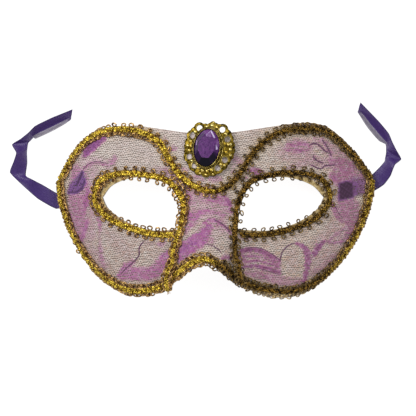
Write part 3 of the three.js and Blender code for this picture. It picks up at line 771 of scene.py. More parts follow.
# The net is pulled uneven by hand, and its outer corners come down on the cut edges
edges = [rim, *eye_rims]
places, cells, uses = lace_net()
border = np.flatnonzero(uses < 3)
inner_places = np.setdiff1d(np.arange(len(places)), border)
sway = np.random.default_rng(7)
drawn = places[inner_places]
pulled = np.stack([
    0.3 * wander(drawn * (0.5, 0.9), 2.2),
    0.75 * wander(drawn * (0.9, 0.35), 1.9),
], -1)
inward = ease(from_edge(drawn, edges) / 3)[:, None]
places[inner_places] = drawn + pulled * inward + sway.normal(0, 0.04, drawn.shape)
places[border] = nearest_on(places[border], edges)

# Each mesh's opening, smaller where the figure is close, and shut where it or glue fills it
middles = places[cells].mean(1)
middle_dye = dye_at(middles)
hem = ease((HEM - from_edge(middles, eye_rims)) / HEM_FADE)
close = middle_dye * sway.uniform(0.75, 1.25, len(cells))
shut_by = [close - 0.45, hem, tie_mark_at(middles), under_jewel(middles)]
filled = np.max(shut_by, axis=0) > WOVEN_SHUT
close = np.maximum(close, filled)
opening = NET_OPENING * (sway.uniform(0.84, 1.14, len(cells)) - 0.24 * ribs_at(middles))
opening = np.maximum(opening - 0.3 * np.clip(close - 0.1, 0, 1), 0.05)
opening[np.isin(cells, border).any(1)] *= 0.72
stretch = np.stack([np.clip(opening * 1.42, 0, WIDEST_OPENING), opening * WIDEST_OPENING], -1)
inner = middles[:, None] + (places[cells] - middles[:, None]) * stretch[:, None]
first = len(places) + 6 * np.arange(len(cells))
faces = []
for k in range(6):
    after = (k + 1) % 6
    faces.extend(zip(cells[:, k], cells[:, after], first + after, first + k))
faces.extend(tuple(first[i] + np.arange(6)) for i in np.flatnonzero(filled))
points = np.vstack([places, inner.reshape(-1, 2)])
cell_of = np.repeat(np.arange(len(cells)), 6)
inner_dye = (middle_dye * sway.uniform(0.7, 1.25, len(cells)))[cell_of]
dye = np.concatenate([dye_at(places) * 0.8, inner_dye])
height = np.concatenate([np.zeros(len(places)), np.full(6 * len(cells), -THREAD_DROP)])
height[len(places):] += 0.16 * ease((close[cell_of] - 0.4) * 3)
height = height + 0.12 * ease(dye * 1.3) + 0.09 * ribs_at(points)

# The thread is cream, yellowed beside the braid, and dyed mauve to plum where the figure is
thread = Finish("lace_thread", Sheen_Weight=0.2, Sheen_Roughness=0.5, Specular_IOR_Level=0.3)
place = thread.place()
to_x, to_y, _ = thread.parts_of(place)
fibre = thread.noise(place, 2600, 3, 0.65)
patch = thread.noise(place, 60, 3, 0.6)
speck = thread.noise(place, 560, 2, 0.6)
ripple = thread.noise(thread.stretched(place, (160, 620, 400)), 1.0, 2, 0.6)
lowness = thread.maths("ADD", to_y, thread.maths("MULTIPLY", patch, 0.02))
to_right = thread.between(to_x, -0.004, 0.02)
ribbed = thread.own("rib")
from_braid = thread.own("from_braid")
cream = thread.tint((0.92, 0.79, 0.69), (0.73, 0.52, 0.4), lowness, 0.045, -0.02)
cream = thread.tint(cream, (0.84, 0.59, 0.4), to_x, 0.0, 0.05, 0, 0.8)
cream = thread.tint(cream, (1.0, 0.93, 0.84), speck, 0.4, 0.75)
cream = thread.tint(cream, (1.0, 0.94, 0.86), ripple, 0.42, 0.62, 0, 0.5)
cream = thread.tint(cream, (0.32, 0.22, 0.17), ribbed, 0.6, 0.05, 0.0, 0.62)
cream = thread.tint(cream, (0.95, 0.88, 0.8), ribbed, 0.7, 0.95, 0.0, 0.4)
yellowed = thread.maths("MULTIPLY", thread.between(from_braid, 7.5, 3),
                        thread.between(patch, 0.3, 0.7, 0.3, 0.75))
cream = thread.blend(yellowed, cream, (0.92, 0.78, 0.54))
cream = thread.tint(cream, (0.66, 0.47, 0.2), from_braid, 4, 2, 0, 0.8)
# Under the jewel the thread is painted paler: painted light that makes up for the shade of the
# plate over it
cream = thread.blend(thread.own("under_jewel"), cream, (0.97, 0.87, 0.84))
mauve = thread.blend(to_right, (0.48, 0.14, 0.33), (0.42, 0.15, 0.27))
mauve = thread.tint(mauve, (0.59, 0.23, 0.44), patch, 0.35, 0.65, 0, 0.7)
mauve = thread.tint(mauve, (0.2, 0.06, 0.15), ribbed, 0.5, 0.1, 0, 0.6)
mauve = thread.tint(mauve, (0.8, 0.56, 0.7), speck, 0.5, 0.78, 0, 0.7)
deep = thread.blend(to_right, (0.3, 0.075, 0.33), (0.19, 0.05, 0.12))
deep = thread.tint(deep, (0.4, 0.14, 0.38), speck, 0.35, 0.7, 0, 0.8)
figure = thread.own("dye")
dyed = thread.tint(cream, mauve, figure, 0.0, 0.7)
dyed = thread.tint(dyed, deep, figure, 0.75, 1.3)
dyed = thread.tint(dyed, (0.19, 0.05, 0.14), figure, 1.25, 1.55, 0, 0.85)
hem_gold = thread.tint((0.5, 0.34, 0.1), (0.85, 0.68, 0.34), speck, 0.35, 0.65)
dyed = thread.blend(thread.own("glue"), dyed, hem_gold)
shade = thread.blend(to_right, (0.15, 0.055, 0.25), (0.19, 0.065, 0.2))
shade = thread.tint(shade, (0.31, 0.14, 0.37), speck, 0.35, 0.7, 0, 0.8)
dark = thread.blend(to_right, (0.045, 0.013, 0.075), (0.03, 0.009, 0.032))
dark = thread.tint(dark, (0.07, 0.022, 0.08), patch, 0.3, 0.7, 0, 0.6)
marked = thread.own("tie_mark")
dyed = thread.tint(dyed, shade, marked, 0.05, 0.5)
dyed = thread.tint(dyed, dark, marked, 0.55, 1.0)
worn = thread.blend(0.25, dyed, (0.2, 0.11, 0.13))
thread.gives("Base Color", thread.tint(dyed, worn, fibre, 0.3, 0.7))
thread.gives("Roughness", thread.between(fibre, 0.3, 0.7, 0.7, 0.92))
thread.relief(fibre, 0.5, 0.00008)

beside_braid = [np.vstack([line[::3], line[::-3]]) for line in (upper_line, lower_line)] + eye_rims
lace = add_piece("lace", off_face(points[:, 0], points[:, 1], height), faces, thread.material)
hold_value(lace, "dye", dye)
hold_value(lace, "glue", ease((HEM - from_edge(points, eye_rims)) / HEM_FADE))
hold_value(lace, "tie_mark", tie_mark_at(points))
hold_value(lace, "rib", (0.5 + 0.5 * ribs_at(points)) * ease(from_edge(points, [rim]) / 0.8))
hold_value(lace, "from_braid", from_edge(points, beside_braid))
hold_value(lace, "under_jewel", under_jewel(points))
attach(lace, "root")
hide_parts("lace_cover")


def outline_threads():
    """Low rounded cords on the lace, tapered at both ends."""
    vertices, faces = [], []
    for width, line in OUTLINES:
        run = even_line(line, OUTLINE_STEP)
        side = left_of(run)
        n = len(run)
        taper = ease(np.minimum(np.linspace(0, 6, n), np.linspace(6, 0, n)) + 0.25)
        taper = taper * (1 + 0.2 * wander(run, 0.9))
        base = len(vertices)
        for across, up in OUTLINE_SECTION:
            at = run + side * (across * width * taper)[:, None]
            vertices.extend(off_face(at[:, 0], at[:, 1], 0.08 + up * taper))
        for i in range(base, base + n - 1):
            for j in range(4):
                low, high = i + j * n, i + (j + 1) % 4 * n
                faces.append((low, high, high + 1, low + 1))
        faces.append([base + j * n for j in (3, 2, 1, 0)])
        faces.append([base + j * n + n - 1 for j in (0, 1, 2, 3)])
    return vertices, faces


gimp = Finish("outline_thread", Sheen_Weight=0.4, Sheen_Roughness=0.4, Specular_IOR_Level=0.4)
twist = gimp.noise(gimp.place(), 1300, 2)
gimp.gives("Base Color", gimp.tint((0.08, 0.03, 0.06), (0.27, 0.11, 0.21), twist, 0.3, 0.7))
gimp.gives("Roughness", gimp.between(twist, 0.3, 0.7, 0.55, 0.8))
gimp.relief(twist, 0.6, 0.0001)
cords = add_piece("lace_outline_threads", *outline_threads(), gimp.material)
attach(cords, "root")

# The gold braid
# A flat plait of three metallic yarns between two wiry threads that stand out in small round
# loops. One length runs over the brows, one along the cheeks and one round each eye, all glued.

PLAIT_SPREAD = 1.08
PLAIT_LAP = 0.5
PLAIT_REPEAT = 4.6
YARN_WIDTH = 0.64
YARN_HEIGHT = 0.48
BRAID_BED = 1.05
FOLD_LINE = 2.2
LOOP_PITCH = 5.7
CROWDED_PITCH = 2.3
LOOP_BASE = 1.35
LOOP_BED = 0.66
LOWEST_LOOP = 0.4
LOOP_STEPS = 17
LOOP_THREAD = 0.5
FRAYED_WIRE = 0.13
ROUTE_STEP = 0.25
YARN_STEP = 0.4

EYE_BRAID = [
    (17.9, -31, -2.1), (17.7, -25.6, -2.1), (15.5, -10.8, -0.1), (15.3, -2.3, 0.9),
    (16.4, 5.1, 1.2), (24.2, 16.1, 0.3), (38.4, 20.4, -0.5), (54.3, 20.9, -0.6),
    (66.5, 16.4, 0), (70, 6, 0), (63, -4.4, 0.3), (47.6, -11.7, 0.4), (32.2, -15, 0.6),
    (20.6, -15.2, -0.6),
]
STEM_START = {-1: [(-21.4, -47.6), (-22.2, -41)], 1: [(17.6, -43.8), (16.4, -38)]}
SPARE = 4.0


def laid_along(points):
    """Gives points in metres by the way along a line, across it and above the lace, and its length.

    The line goes on straight for a little at both ends.
    """
    line = even_line(points, ROUTE_STEP)
    spare = np.arange(SPARE, 0, -ROUTE_STEP)[:, None]
    before, after = unit(np.array([line[0] - line[1], line[-1] - line[-2]]))
    line = np.vstack([line[0] + before * spare, line, line[-1] + after * spare[::-1]])
    slope = unit(np.gradient(line, axis=0))
    way = way_along(np.column_stack([line, face_height(line[:, 0], line[:, 1])]))
    way -= way[len(spare)]

    def place(along, across, up):
        x, y, tx, ty = (np.interp(along, way, v) for v in (*line.T, *slope.T))
        normal = face_normal(x, y)
        climb = -(normal[..., 0] * tx + normal[..., 1] * ty) / normal[..., 2]
        side = unit(np.cross(normal, np.stack([tx, ty, climb], -1)))
        return off_face(x + side[..., 0] * across, y + side[..., 1] * across, up)

    return place, way[-1 - len(spare)]


def yarn(path, up, width, height, sides):
    """Points, faces and running UVs of a yarn along a path, flat or round, closed at both ends."""
    ahead = unit(np.gradient(path, axis=0))
    side = unit(np.cross(up, ahead))
    top = np.cross(ahead, side)
    turn = np.arange(sides)[:, None] * 2 * math.pi / sides
    n = len(path)
    width, height = (np.broadcast_to(size, n)[:, None, None] for size in (width, height))
    ring = side[:, None] * np.cos(turn) * width + top[:, None] * np.sin(turn) * height
    points = (path[:, None] + ring).reshape(-1, 3)
    i, j = np.meshgrid(np.arange(n - 1), np.arange(sides), indexing="ij")
    a, b = (i * sides + j).ravel(), (i * sides + (j + 1) % sides).ravel()
    faces = np.stack([a, b, b + sides, a + sides], -1).tolist()
    run = way_along(path) * 100
    low, high = run[i.ravel()], run[i.ravel() + 1]
    first, last = j.ravel() / sides, (j.ravel() + 1) / sides
    corners = np.stack([low, first, low, last, high, last, high, first], -1)
    corners = corners.reshape(-1, 2).tolist()
    faces.append(list(range(sides))[::-1])
    faces.append([(n - 1) * sides + k for k in range(sides)])
    corners += [(0, 0)] * (2 * sides)
    return points, faces, corners


def fold(across, up, degrees):
    """Turns what stands out past the rim down over it."""
    past = np.maximum(np.abs(across) - FOLD_LINE, 0)
    angle = np.radians(degrees)
    return across - np.sign(across) * past * (1 - np.cos(angle)), up - past * np.sin(angle)


def loop_line(side, start, end, hand, crowd):
    """Way, distance across and height of one thread that stands out in loops between two ends.

    crowd gives, along the way, how far the loops are pushed together: open (0) or crowded (1).
    """
    fine = np.linspace(start, end, 600)
    pitch = LOOP_PITCH + (CROWDED_PITCH - LOOP_PITCH) * crowd(fine)
    loops = np.cumsum(np.gradient(fine) / pitch)
    count = int(loops[-1])
    turn = np.linspace(-math.pi, (2 * count - 1) * math.pi, count * LOOP_STEPS + 1)
    middles = 2 * math.pi * np.arange(count)

    def varied(low, high):
        return np.interp(turn, middles, [hand.uniform(low, high) for _ in middles])

    done = (loops - loops[0]) * count / (loops[-1] - loops[0])
    along = np.interp((turn + math.pi) / (2 * math.pi), done, fine)
    packed = crowd(along)
    reach = varied(1.15, 1.45) + varied(-0.45, 0.2) * packed
    out = reach + reach * np.cos(turn)
    along = along + varied(-0.6, 0.6) - varied(2.1, 2.7) * (1 - 0.2 * packed) * np.sin(turn)
    along = along + (varied(-0.5, 0.5) + varied(-0.4, 0.4) * packed) * out
    up = LOOP_BED + varied(0.0, 0.34) * out + 0.36 * np.sin(turn) + varied(-0.2, 0.4) * packed
    along = np.clip(along, start - 0.6, end + 0.6)
    return along, side * (LOOP_BASE + out), np.maximum(up, LOWEST_LOOP), turn


def frayed(hand):
    """Short loose wires that stand out past the cut start of a braid."""
    t = np.linspace(0, 1, 6)
    for _ in range(9):
        out = hand.uniform(1.2, 3.2)
        start = hand.uniform(-0.9, 0.9)
        drift = hand.uniform(-0.9, 0.9)
        rise = hand.uniform(0.5, 1.4)
        yield 0.5 - out * t, start + drift * t**2, rise + hand.uniform(-0.5, 0.4) * t


def no_lift(way):
    return 0.0 * way


def braid(name, points, seed, crowded, lift=no_lift, turned=None, ends=(0, 0), cut_start=False):
    """One length of braid.

    crowded gives, for each side, how crowded its loops are along the way, and turned its degrees
    of fold. ends is how far the braid runs on past the first and the last point.
    """
    place, length = laid_along(points)
    hand = random.Random(seed)
    start, end = -ends[0], length + ends[1]
    vertices, faces, corners, slots = [], [], [], []

    def add(along, across, up, width, height, sides, slot):
        path = place(along, across, up + lift(along))
        over = place(along, across, up + lift(along) + 1) - path
        v, f, c = yarn(path, over, width * 0.001, height * 0.001, sides)
        base = sum(len(part) for part in vertices)
        vertices.append(v)
        faces.extend([[k + base for k in face] for face in f])
        corners.extend(c)
        slots.extend([slot] * len(f))

    def narrowed(along):
        """How far the braid is drawn narrow: not on the mask's left, most right of the nose."""
        x = place(along, 0 * along, 0 * along)[:, 0] * 1000
        return ease((x + 4) / 12) * (1 - 0.5 * ease((x - 68) / 14))

    way = np.linspace(start, end, round((end - start) / YARN_STEP))
    narrow = narrowed(way)
    drift = 0.16 * np.sin(way / 9.7 + seed) + 0.1 * np.sin(way / 3.1)
    for k in range(3):
        phase = 2 * math.pi * (way / PLAIT_REPEAT + k / 3) + 0.35 * np.sin(way / 5.9 + k)
        uneven = 0.1 * np.sin(way / 4.3 + k) + 0.08 * np.sin(way / 1.9 + 2 * k)
        spread = PLAIT_SPREAD * (1.18 - 0.4 * narrow + uneven)
        rise = BRAID_BED + PLAIT_LAP * np.sin(2 * phase) + 0.08 * np.sin(way / 2.3 + k)
        stout = 1.16 - 0.32 * narrow + 0.14 * np.sin(way / 0.9 + 3 * k) * np.sin(way / 2.7)
        across = spread * np.sin(phase) + drift
        add(way, across, rise, YARN_WIDTH * stout, YARN_HEIGHT * stout, 6, 0)
    for side in (1, -1):
        along, across, up, turn = loop_line(
            side, start + 0.8, end - 0.8, hand, lambda at: np.interp(at, *zip(*crowded[side])))
        if turned and side in turned:
            degrees = np.interp(along, *zip(*turned[side])) + 7 * np.sin(turn / 3.7)
            across, up = fold(across, up, np.maximum(degrees, 0))
        stout = LOOP_THREAD * (1 - 0.2 * narrowed(along) + 0.1 * np.sin(turn * 1.7))
        add(along, across, up, stout, stout, 5, 1)
    if cut_start:
        for along, across, up in frayed(hand):
            add(along, across, up, FRAYED_WIRE, FRAYED_WIRE, 4, 1)
    piece = add_piece(name, np.vstack(vertices), faces, braid_gold)
    piece.data.materials.append(loop_gold)
    piece.data.polygons.foreach_set("material_index", slots)
    layer = piece.data.uv_layers.new(name="yarn")
    layer.data.foreach_set("uv", np.ravel(corners))
    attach(piece, "root")
    return piece


def yarn_gold(name, dark, bright, shaded_dark, shaded_bright, metal, turns, rubbed=0.0):
    """Metal foil wound round a core, with painted highlight on its crests, painted shade in its
    gaps, and painted shade over the mask's right half.

    turns is how often the foil goes round in ten millimetres, rubbed how pale the outer loops of
    the right cheek are worn.
    """
    gold = Finish(name, Metallic=metal)
    place = gold.place()
    to_x, to_y, _ = gold.parts_of(place)
    fleck = gold.noise(place, 540, 3, 0.6)
    patch = gold.noise(place, 160, 2)
    along, round_yarn, _ = gold.parts_of(gold.cloth_place("yarn"))
    wound = gold.maths("ADD", gold.maths("MULTIPLY", along, turns), round_yarn)
    wound = gold.maths("ADD", wound, gold.maths("MULTIPLY", patch, 3.0))
    ridge = gold.maths("SINE", gold.maths("MULTIPLY", wound, 2 * math.pi))
    # The tone rises on the crests of the winding and falls in its gaps, a painted highlight and
    # painted shade, with random flecks over it
    tone = gold.maths("ADD", gold.maths("MULTIPLY", ridge, 0.07), fleck)
    tone = gold.between(tone, 0.42, 0.61)
    # Painted shade: the gold is drawn darker over the mask's right half, less so at the end of the
    # right cheek
    across = gold.maths("ADD", to_x, gold.maths("MULTIPLY", patch, 0.014))
    cheek_end = gold.maths("MULTIPLY", gold.between(across, 0.072, 0.086),
                           gold.between(to_y, 0.024, 0.014))
    shade_to_right = gold.maths("MULTIPLY", gold.between(across, 0.004, 0.016),
                      gold.between(cheek_end, 0, 1, 1.0, 0.4))
    lit_gold = gold.blend(tone, dark, bright)
    shaded_gold = gold.blend(tone, shaded_dark, shaded_bright)
    low_edge = gold.maths("MULTIPLY", gold.between(to_y, -0.049, -0.0515, 0, rubbed),
                          gold.between(tone, 0, 1, 0.3, 1.0))
    shaded_gold = gold.blend(low_edge, shaded_gold, (0.9, 0.7, 0.38))
    gold.gives("Base Color", gold.blend(shade_to_right, lit_gold, shaded_gold))
    gold.gives("Roughness", gold.between(tone, 0, 1, 0.55, 0.3))
    gold.relief(tone, 0.8, 0.00022)
    return gold.material


# Each gold is given lit, then as a darker copy for the painted shade on the mask's right half
braid_gold = yarn_gold(
    "braid_gold", (0.13, 0.05, 0.003), (1.0, 0.74, 0.09),
    (0.012, 0.005, 0.001), (0.42, 0.24, 0.04), 0.85, 10)
loop_gold = yarn_gold(
    "loop_gold", (0.075, 0.026, 0.007), (0.86, 0.54, 0.2),
    (0.03, 0.013, 0.004), (0.44, 0.29, 0.1), 0.8, 13, rubbed=0.8)

braid_upper = braid("braid_brows", across_mask(UPPER_BRAID), 3, {
    1: [(0, 1), (42, 1), (50, 0), (178, 0), (190, 1), (260, 1)],
    -1: [(0, 1), (72, 1), (80, 0.3), (128, 0.3), (134, 0), (182, 0), (190, 1), (260, 1)],
}, ends=(1.5, 1.5), turned={
    1: [(0, 80), (34, 70), (44, 0), (180, 0), (188, 20), (212, 50), (222, 60), (251, 75)]})
braid_lower = braid("braid_cheeks", across_mask(LOWER_BRAID), 5, {
    1: [(0, 1), (300, 1)],
    -1: [(0, 1), (36, 1), (40, 0.2), (54, 0.2), (60, 1), (300, 1)],
}, ends=(1.2, 1.2), turned={
    -1: [(0, 80), (36, 78), (38, 5), (60, 45), (110, 50), (150, 20), (165, 30), (180, 10),
         (214, 20), (232, 70), (298, 80)]})
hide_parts("braid_upper")
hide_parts("braid_lower")


def over_cheek_braid(way):
    return 2.6 * ease((17 - way) / 5.5)


def eye_line(side):
    return STEM_START[side] + on_side(EYE_BRAID, side)


braid_left = braid("braid_left_eye", eye_line(-1), 11, {
    1: [(0, 1), (58, 1), (74, 0), (106, 0), (112, 1), (132, 0.9), (142, 0.2), (190, 0.2)],
    -1: [(0, 1), (56, 1), (70, 0), (104, 0), (112, 0.8), (134, 0.6), (144, 0), (190, 0)],
}, over_cheek_braid, ends=(0, 2.2), cut_start=True)
braid_right = braid("braid_right_eye", eye_line(1), 17, {
    1: [(0, 1), (16, 0.8), (32, 0), (190, 0)],
    -1: [(0, 1), (16, 0.8), (32, 0), (190, 0)],
}, over_cheek_braid, ends=(0, 2.2))
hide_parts("braid_eye_left")
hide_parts("braid_eye_right")

# The jewel's setting
# A stamped and pierced plate of gilt metal: eight ringed holes, clusters of grains, a low crest and
# a stepped oval cup. It is glued to the forehead and leans a little to the left.

PLATE_THICKNESS = 0.8
PLATE_SOFTENING = 0.22
EDGE_MARGIN = 0.4
CREST_RISE = 1.4
CREST_TURN = 85
CREST_HALF_TURN = 9
HOLE_RADIUS = 1.75
HOLE_LOBE = 3.2
RIM_WIRE = 0.42
EDGE_GRAIN = 0.36
STONE_HALF_WIDTH = 7.4
STONE_HALF_HEIGHT = 10.9
CUP_SHIFT = -0.5
JEWEL_X = -0.3
JEWEL_RISE = 0.75
JEWEL_LEAN = (-5, -4.5, -6.4)

# Middles of the holes, the lobes of the edge between them as middle and radius, and the grains as
# middle and radius
HOLES = [
    (6.9, 11.9), (10.6, 6.6), (10.6, -5.7), (7, -10.8), (-6.9, -10.8), (-10.5, -5.8), (-10.3, 6.6),
    (-6.7, 11.4),
]
LOBES = [
    (0, 0, 11), (-3.3, 12.2, 2), (0, 12.8, 2.3), (3.4, 12.5, 2.3), (5.4, 12.3, 2.5),
    (9.4, 9.1, 3.1), (-8.9, 8.9, 2.8), (12.4, 3.2, 2.7), (13, 0.2, 2.7), (12.6, -2.8, 2.6),
    (-11.8, 2.7, 2.3), (-12, 0, 2.2), (-11.6, -2.6, 2.3), (9.4, -8.6, 3), (-9, -8.4, 2.7),
    (-3.9, -13.2, 2.7), (0.4, -14, 2.8), (4.4, -13, 2.7),
]
GRAINS = [
    (-2.4, 12.6, 1.1), (0.6, 13.7, 1.3), (3.6, 12.9, 1.15), (1.2, 15.5, 0.8), (9.2, 9.5, 1.3),
    (-8.8, 9, 1.3), (11.4, 3.5, 1.25), (13.2, 0.8, 1.25), (10.8, -1, 1.25), (13.4, -2.6, 1.1),
    (12.9, 3.8, 1), (-11, 3.2, 1.15), (-12.4, 0.5, 1.2), (-10.2, 0.3, 1), (-11, -2.3, 1.2),
    (8.5, -8.5, 1.2), (10.8, -8.9, 1.05), (-8.7, -8.2, 1.15), (-4.4, -12, 1.2), (-1.8, -13.2, 1.3),
    (1, -13.3, 1.15), (3.7, -12.5, 1.2), (0.6, -15.5, 1.05), (-3, -15, 0.95), (4.6, -14.8, 0.95),
    (8.2, 4, 0.75), (-8.6, 3.6, 0.7), (8.4, -3.4, 0.75), (-8.4, -3.4, 0.7),
]
# The cup from its foot to its lip and down inside: distance outside the stone, height
CUP_STEPS = [
    (2.2, 0.8), (2.2, 1.2), (1.98, 1.45), (1.75, 1.4), (1.6, 1.1), (1.42, 1.1), (1.36, 2.1),
    (1.22, 2.3), (1.04, 2.25), (0.92, 1.95), (0.8, 1.95), (0.74, 2.95), (0.6, 3.2), (0.42, 3.15),
    (0.36, 2.9), (0.36, 0.55),
]


def plate_edge(degrees):
    """The point of the lobed edge in a direction: the farthest reach of any lobe."""
    angle = math.radians(degrees)
    ahead = Vector((math.cos(angle), math.sin(angle)))
    reach = 0
    for x, y, radius in [(*hole, HOLE_LOBE) for hole in HOLES] + LOBES:
        along = ahead.dot((x, y))
        miss = x * x + y * y - along * along
        if radius * radius > miss:
            reach = max(reach, along + math.sqrt(radius * radius - miss))
    crest = CREST_RISE * max(0, 1 - abs(degrees - CREST_TURN) / CREST_HALF_TURN)
    return ahead * (reach + EDGE_MARGIN + crest)


def moved_copy(source, place, scale=(1, 1, 1)):
    copy = source.copy()
    copy.data = source.data.copy()
    bpy.context.collection.objects.link(copy)
    copy.data.transform(Matrix.Translation(place) @ Matrix.Diagonal((*scale, 1)))
    return copy


def joined(pieces):
    bpy.ops.object.select_all(action="DESELECT")
    for piece in pieces:
        piece.select_set(True)
    bpy.context.view_layer.objects.active = pieces[0]
    bpy.ops.object.join()
    return bpy.context.object


def gilt(name, dark, bright, glossy, dull):
    """Gilt metal in uneven wear, from dark and dull to bright and glossy."""
    metal = Finish(name, Metallic=1.0)
    wear = metal.noise(metal.place(), 520, 3, 0.65)
    metal.gives("Base Color", metal.tint(dark, bright, wear, 0.38, 0.62))
    metal.gives("Roughness", metal.between(wear, 0.3, 0.7, dull, glossy))
    metal.relief(wear, 0.6, 0.00018)
    return metal.material


plate_gold = gilt("old_gilt", (0.015, 0.01, 0.002), (0.27, 0.185, 0.02), 0.34, 0.55)
ring_gold = gilt("rubbed_gilt", (0.1, 0.066, 0.008), (0.62, 0.48, 0.14), 0.3, 0.5)
grain_gold = gilt("bright_gilt", (0.62, 0.42, 0.04), (1.0, 0.88, 0.36), 0.2, 0.36)

# The plate
bpy.ops.object.select_all(action="DESELECT")
bpy.ops.mesh.primitive_circle_add(vertices=180, radius=1, fill_type="NGON")
plate = bpy.context.object
plate.name = plate.data.name = "jewel_setting_plate"
for vertex in plate.data.vertices:
    edge = plate_edge(math.degrees(math.atan2(vertex.co.y, vertex.co.x)) % 360)
    vertex.co = (edge.x, edge.y, 0)
bpy.ops.object.mode_set(mode="EDIT")
bpy.ops.mesh.select_all(action="SELECT")
bpy.ops.mesh.extrude_region_move(TRANSFORM_OT_translate={"value": (0, 0, PLATE_THICKNESS)})
bpy.ops.mesh.select_all(action="SELECT")
bpy.ops.mesh.normals_make_consistent(inside=False)
bpy.ops.object.mode_set(mode="OBJECT")
bpy.ops.object.select_all(action="DESELECT")
bpy.ops.mesh.primitive_cylinder_add(vertices=28, radius=HOLE_RADIUS, depth=4)
punch = bpy.context.object
punches = joined([moved_copy(punch, (x, y, 0)) for x, y in HOLES])
bpy.data.objects.remove(punch)
worked_on(plate, "BOOLEAN", operation="DIFFERENCE", solver="EXACT", object=punches)
bpy.data.objects.remove(punches)
worked_on(plate, "BEVEL", width=PLATE_SOFTENING, segments=2, limit_method="ANGLE")
plate.data.materials.clear()
plate.data.materials.append(plate_gold)

# The rings round the holes and the grains
bpy.ops.object.select_all(action="DESELECT")
bpy.ops.mesh.primitive_torus_add(major_radius=HOLE_RADIUS + 0.35, minor_radius=RIM_WIRE,
                                 major_segments=28, minor_segments=8)
ring = bpy.context.object
ring.data.materials.append(ring_gold)
bpy.ops.object.select_all(action="DESELECT")
bpy.ops.mesh.primitive_uv_sphere_add(segments=10, ring_count=6, radius=1)
grain = bpy.context.object
grain.data.materials.append(grain_gold)
trim = [moved_copy(ring, (x, y, PLATE_THICKNESS)) for x, y in HOLES]
trim += [moved_copy(grain, (x, y, PLATE_THICKNESS - 0.1), (r, r, r * 0.85)) for x, y, r in GRAINS]
grain.data.materials[0] = plate_gold
for turn in range(0, 360, 6):
    edge = plate_edge(turn)
    x, y = edge * (1 - EDGE_GRAIN / edge.length)
    trim.append(moved_copy(
        grain, (x, y, PLATE_THICKNESS - 0.15), (EDGE_GRAIN, EDGE_GRAIN, EDGE_GRAIN + 0.04)))
bpy.data.objects.remove(ring)
bpy.data.objects.remove(grain)

# The cup, drawn up from its foot in steps
w, h = STONE_HALF_WIDTH, STONE_HALF_HEIGHT
bpy.ops.object.select_all(action="DESELECT")
bpy.ops.mesh.primitive_circle_add(vertices=72, radius=1)
cup = bpy.context.object
bpy.ops.object.mode_set(mode="EDIT")
bpy.ops.mesh.select_all(action="SELECT")
grow, level = CUP_STEPS[0]
bpy.ops.transform.resize(value=(w + grow, h + grow, 1))
bpy.ops.transform.translate(value=(CUP_SHIFT, 0, level))
for next_grow, next_level in CUP_STEPS[1:]:
    bpy.ops.mesh.extrude_edges_move(TRANSFORM_OT_translate={"value": (0, 0, next_level - level)})
    bpy.ops.transform.resize(value=((w + next_grow) / (w + grow), (h + next_grow) / (h + grow), 1))
    grow, level = next_grow, next_level
bpy.ops.mesh.edge_face_add()
bpy.ops.mesh.select_all(action="SELECT")
bpy.ops.mesh.normals_make_consistent(inside=False)
bpy.ops.object.mode_set(mode="OBJECT")
cup.data.materials.append(plate_gold)
cup.data.materials.append(ring_gold)
for face in cup.data.polygons:
    outward = math.hypot(face.center.x - CUP_SHIFT, face.center.y * w / h) - w
    if face.normal.z > 0.75 and outward > 0.3:
        face.material_index = 1

setting = joined([plate, cup, *trim])
setting.name = setting.data.name = "jewel_setting_visible"
lean = Euler([math.radians(degrees) for degrees in JEWEL_LEAN], "XYZ").to_matrix().to_4x4()
seat = Matrix.Translation(Vector(off_face(JEWEL_X, JEWEL_Y, JEWEL_RISE)))
jewel_place = seat @ lean @ Matrix.Scale(0.001, 4)
setting.data.transform(jewel_place)
only(setting)
bpy.ops.object.shade_smooth_by_angle(angle=math.radians(42))
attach(setting, "root")
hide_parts("jewel_setting")

# The stone
# An oval of purple glass cut with an eight-sided table, three rows of facets over its girdle and
# one under it. The lip of the cup holds it.

TABLE_HEIGHT = 5.2
TABLE_RADIUS = 0.36
TABLE_SHIFT = 0.08
GIRDLE_HEIGHT = 2.9
FOOT_HEIGHT = 0.75
# Rows of cuts: how many, first turn, and two points of each cut as distance from the middle, height
CUTS = [
    (8, 0, (0.985, 2.9), (0.64, 5.2)),
    (8, 22.5, (0.96, 3.3), (0.68, 5.2)),
    (16, 11.25, (1.0, 2.75), (0.93, 3.6)),
    (8, 22.5, (0.45, 0.75), (0.99, 2.3)),
]
# Painted reflections, bright bands on the front facets for the light seen in the back facets:
# direction, near and far edge, the two ends, brightness
PAINTED_REFLECTIONS = [
    (46, 0.75, 0.84, 0.0, 0.56, 0.96), (134, 0.52, 0.59, -0.8, -0.36, 0.8),
    (8, 0.75, 0.88, -0.16, 0.3, 0.92), (180, 0.8, 0.9, -0.34, -0.08, 0.78),
    (90, 0.58, 0.78, -0.26, 0.1, 0.7), (125, 0.9, 0.97, -0.25, 0.12, 0.66),
    (40, 0.7, 0.95, -0.5, -0.1, 0.68),
]
# How bright the facets of each direction are painted, as painted light and shade: those facing up
# lit, those facing down in shade, as in a foil-backed stone
FACET_TURNS = [-180, -157, -135, -112, -67, -45, -22, 0, 22, 45, 67, 90, 112, 135, 157, 180]
PAINTED_FACET_LIGHT = [
    0.34, 0.3, 0.2, 0.06, 0.03, 0.14, 0.3, 0.5, 0.6, 0.56, 0.58, 0.62, 0.52, 0.42, 0.42, 0.34,
]

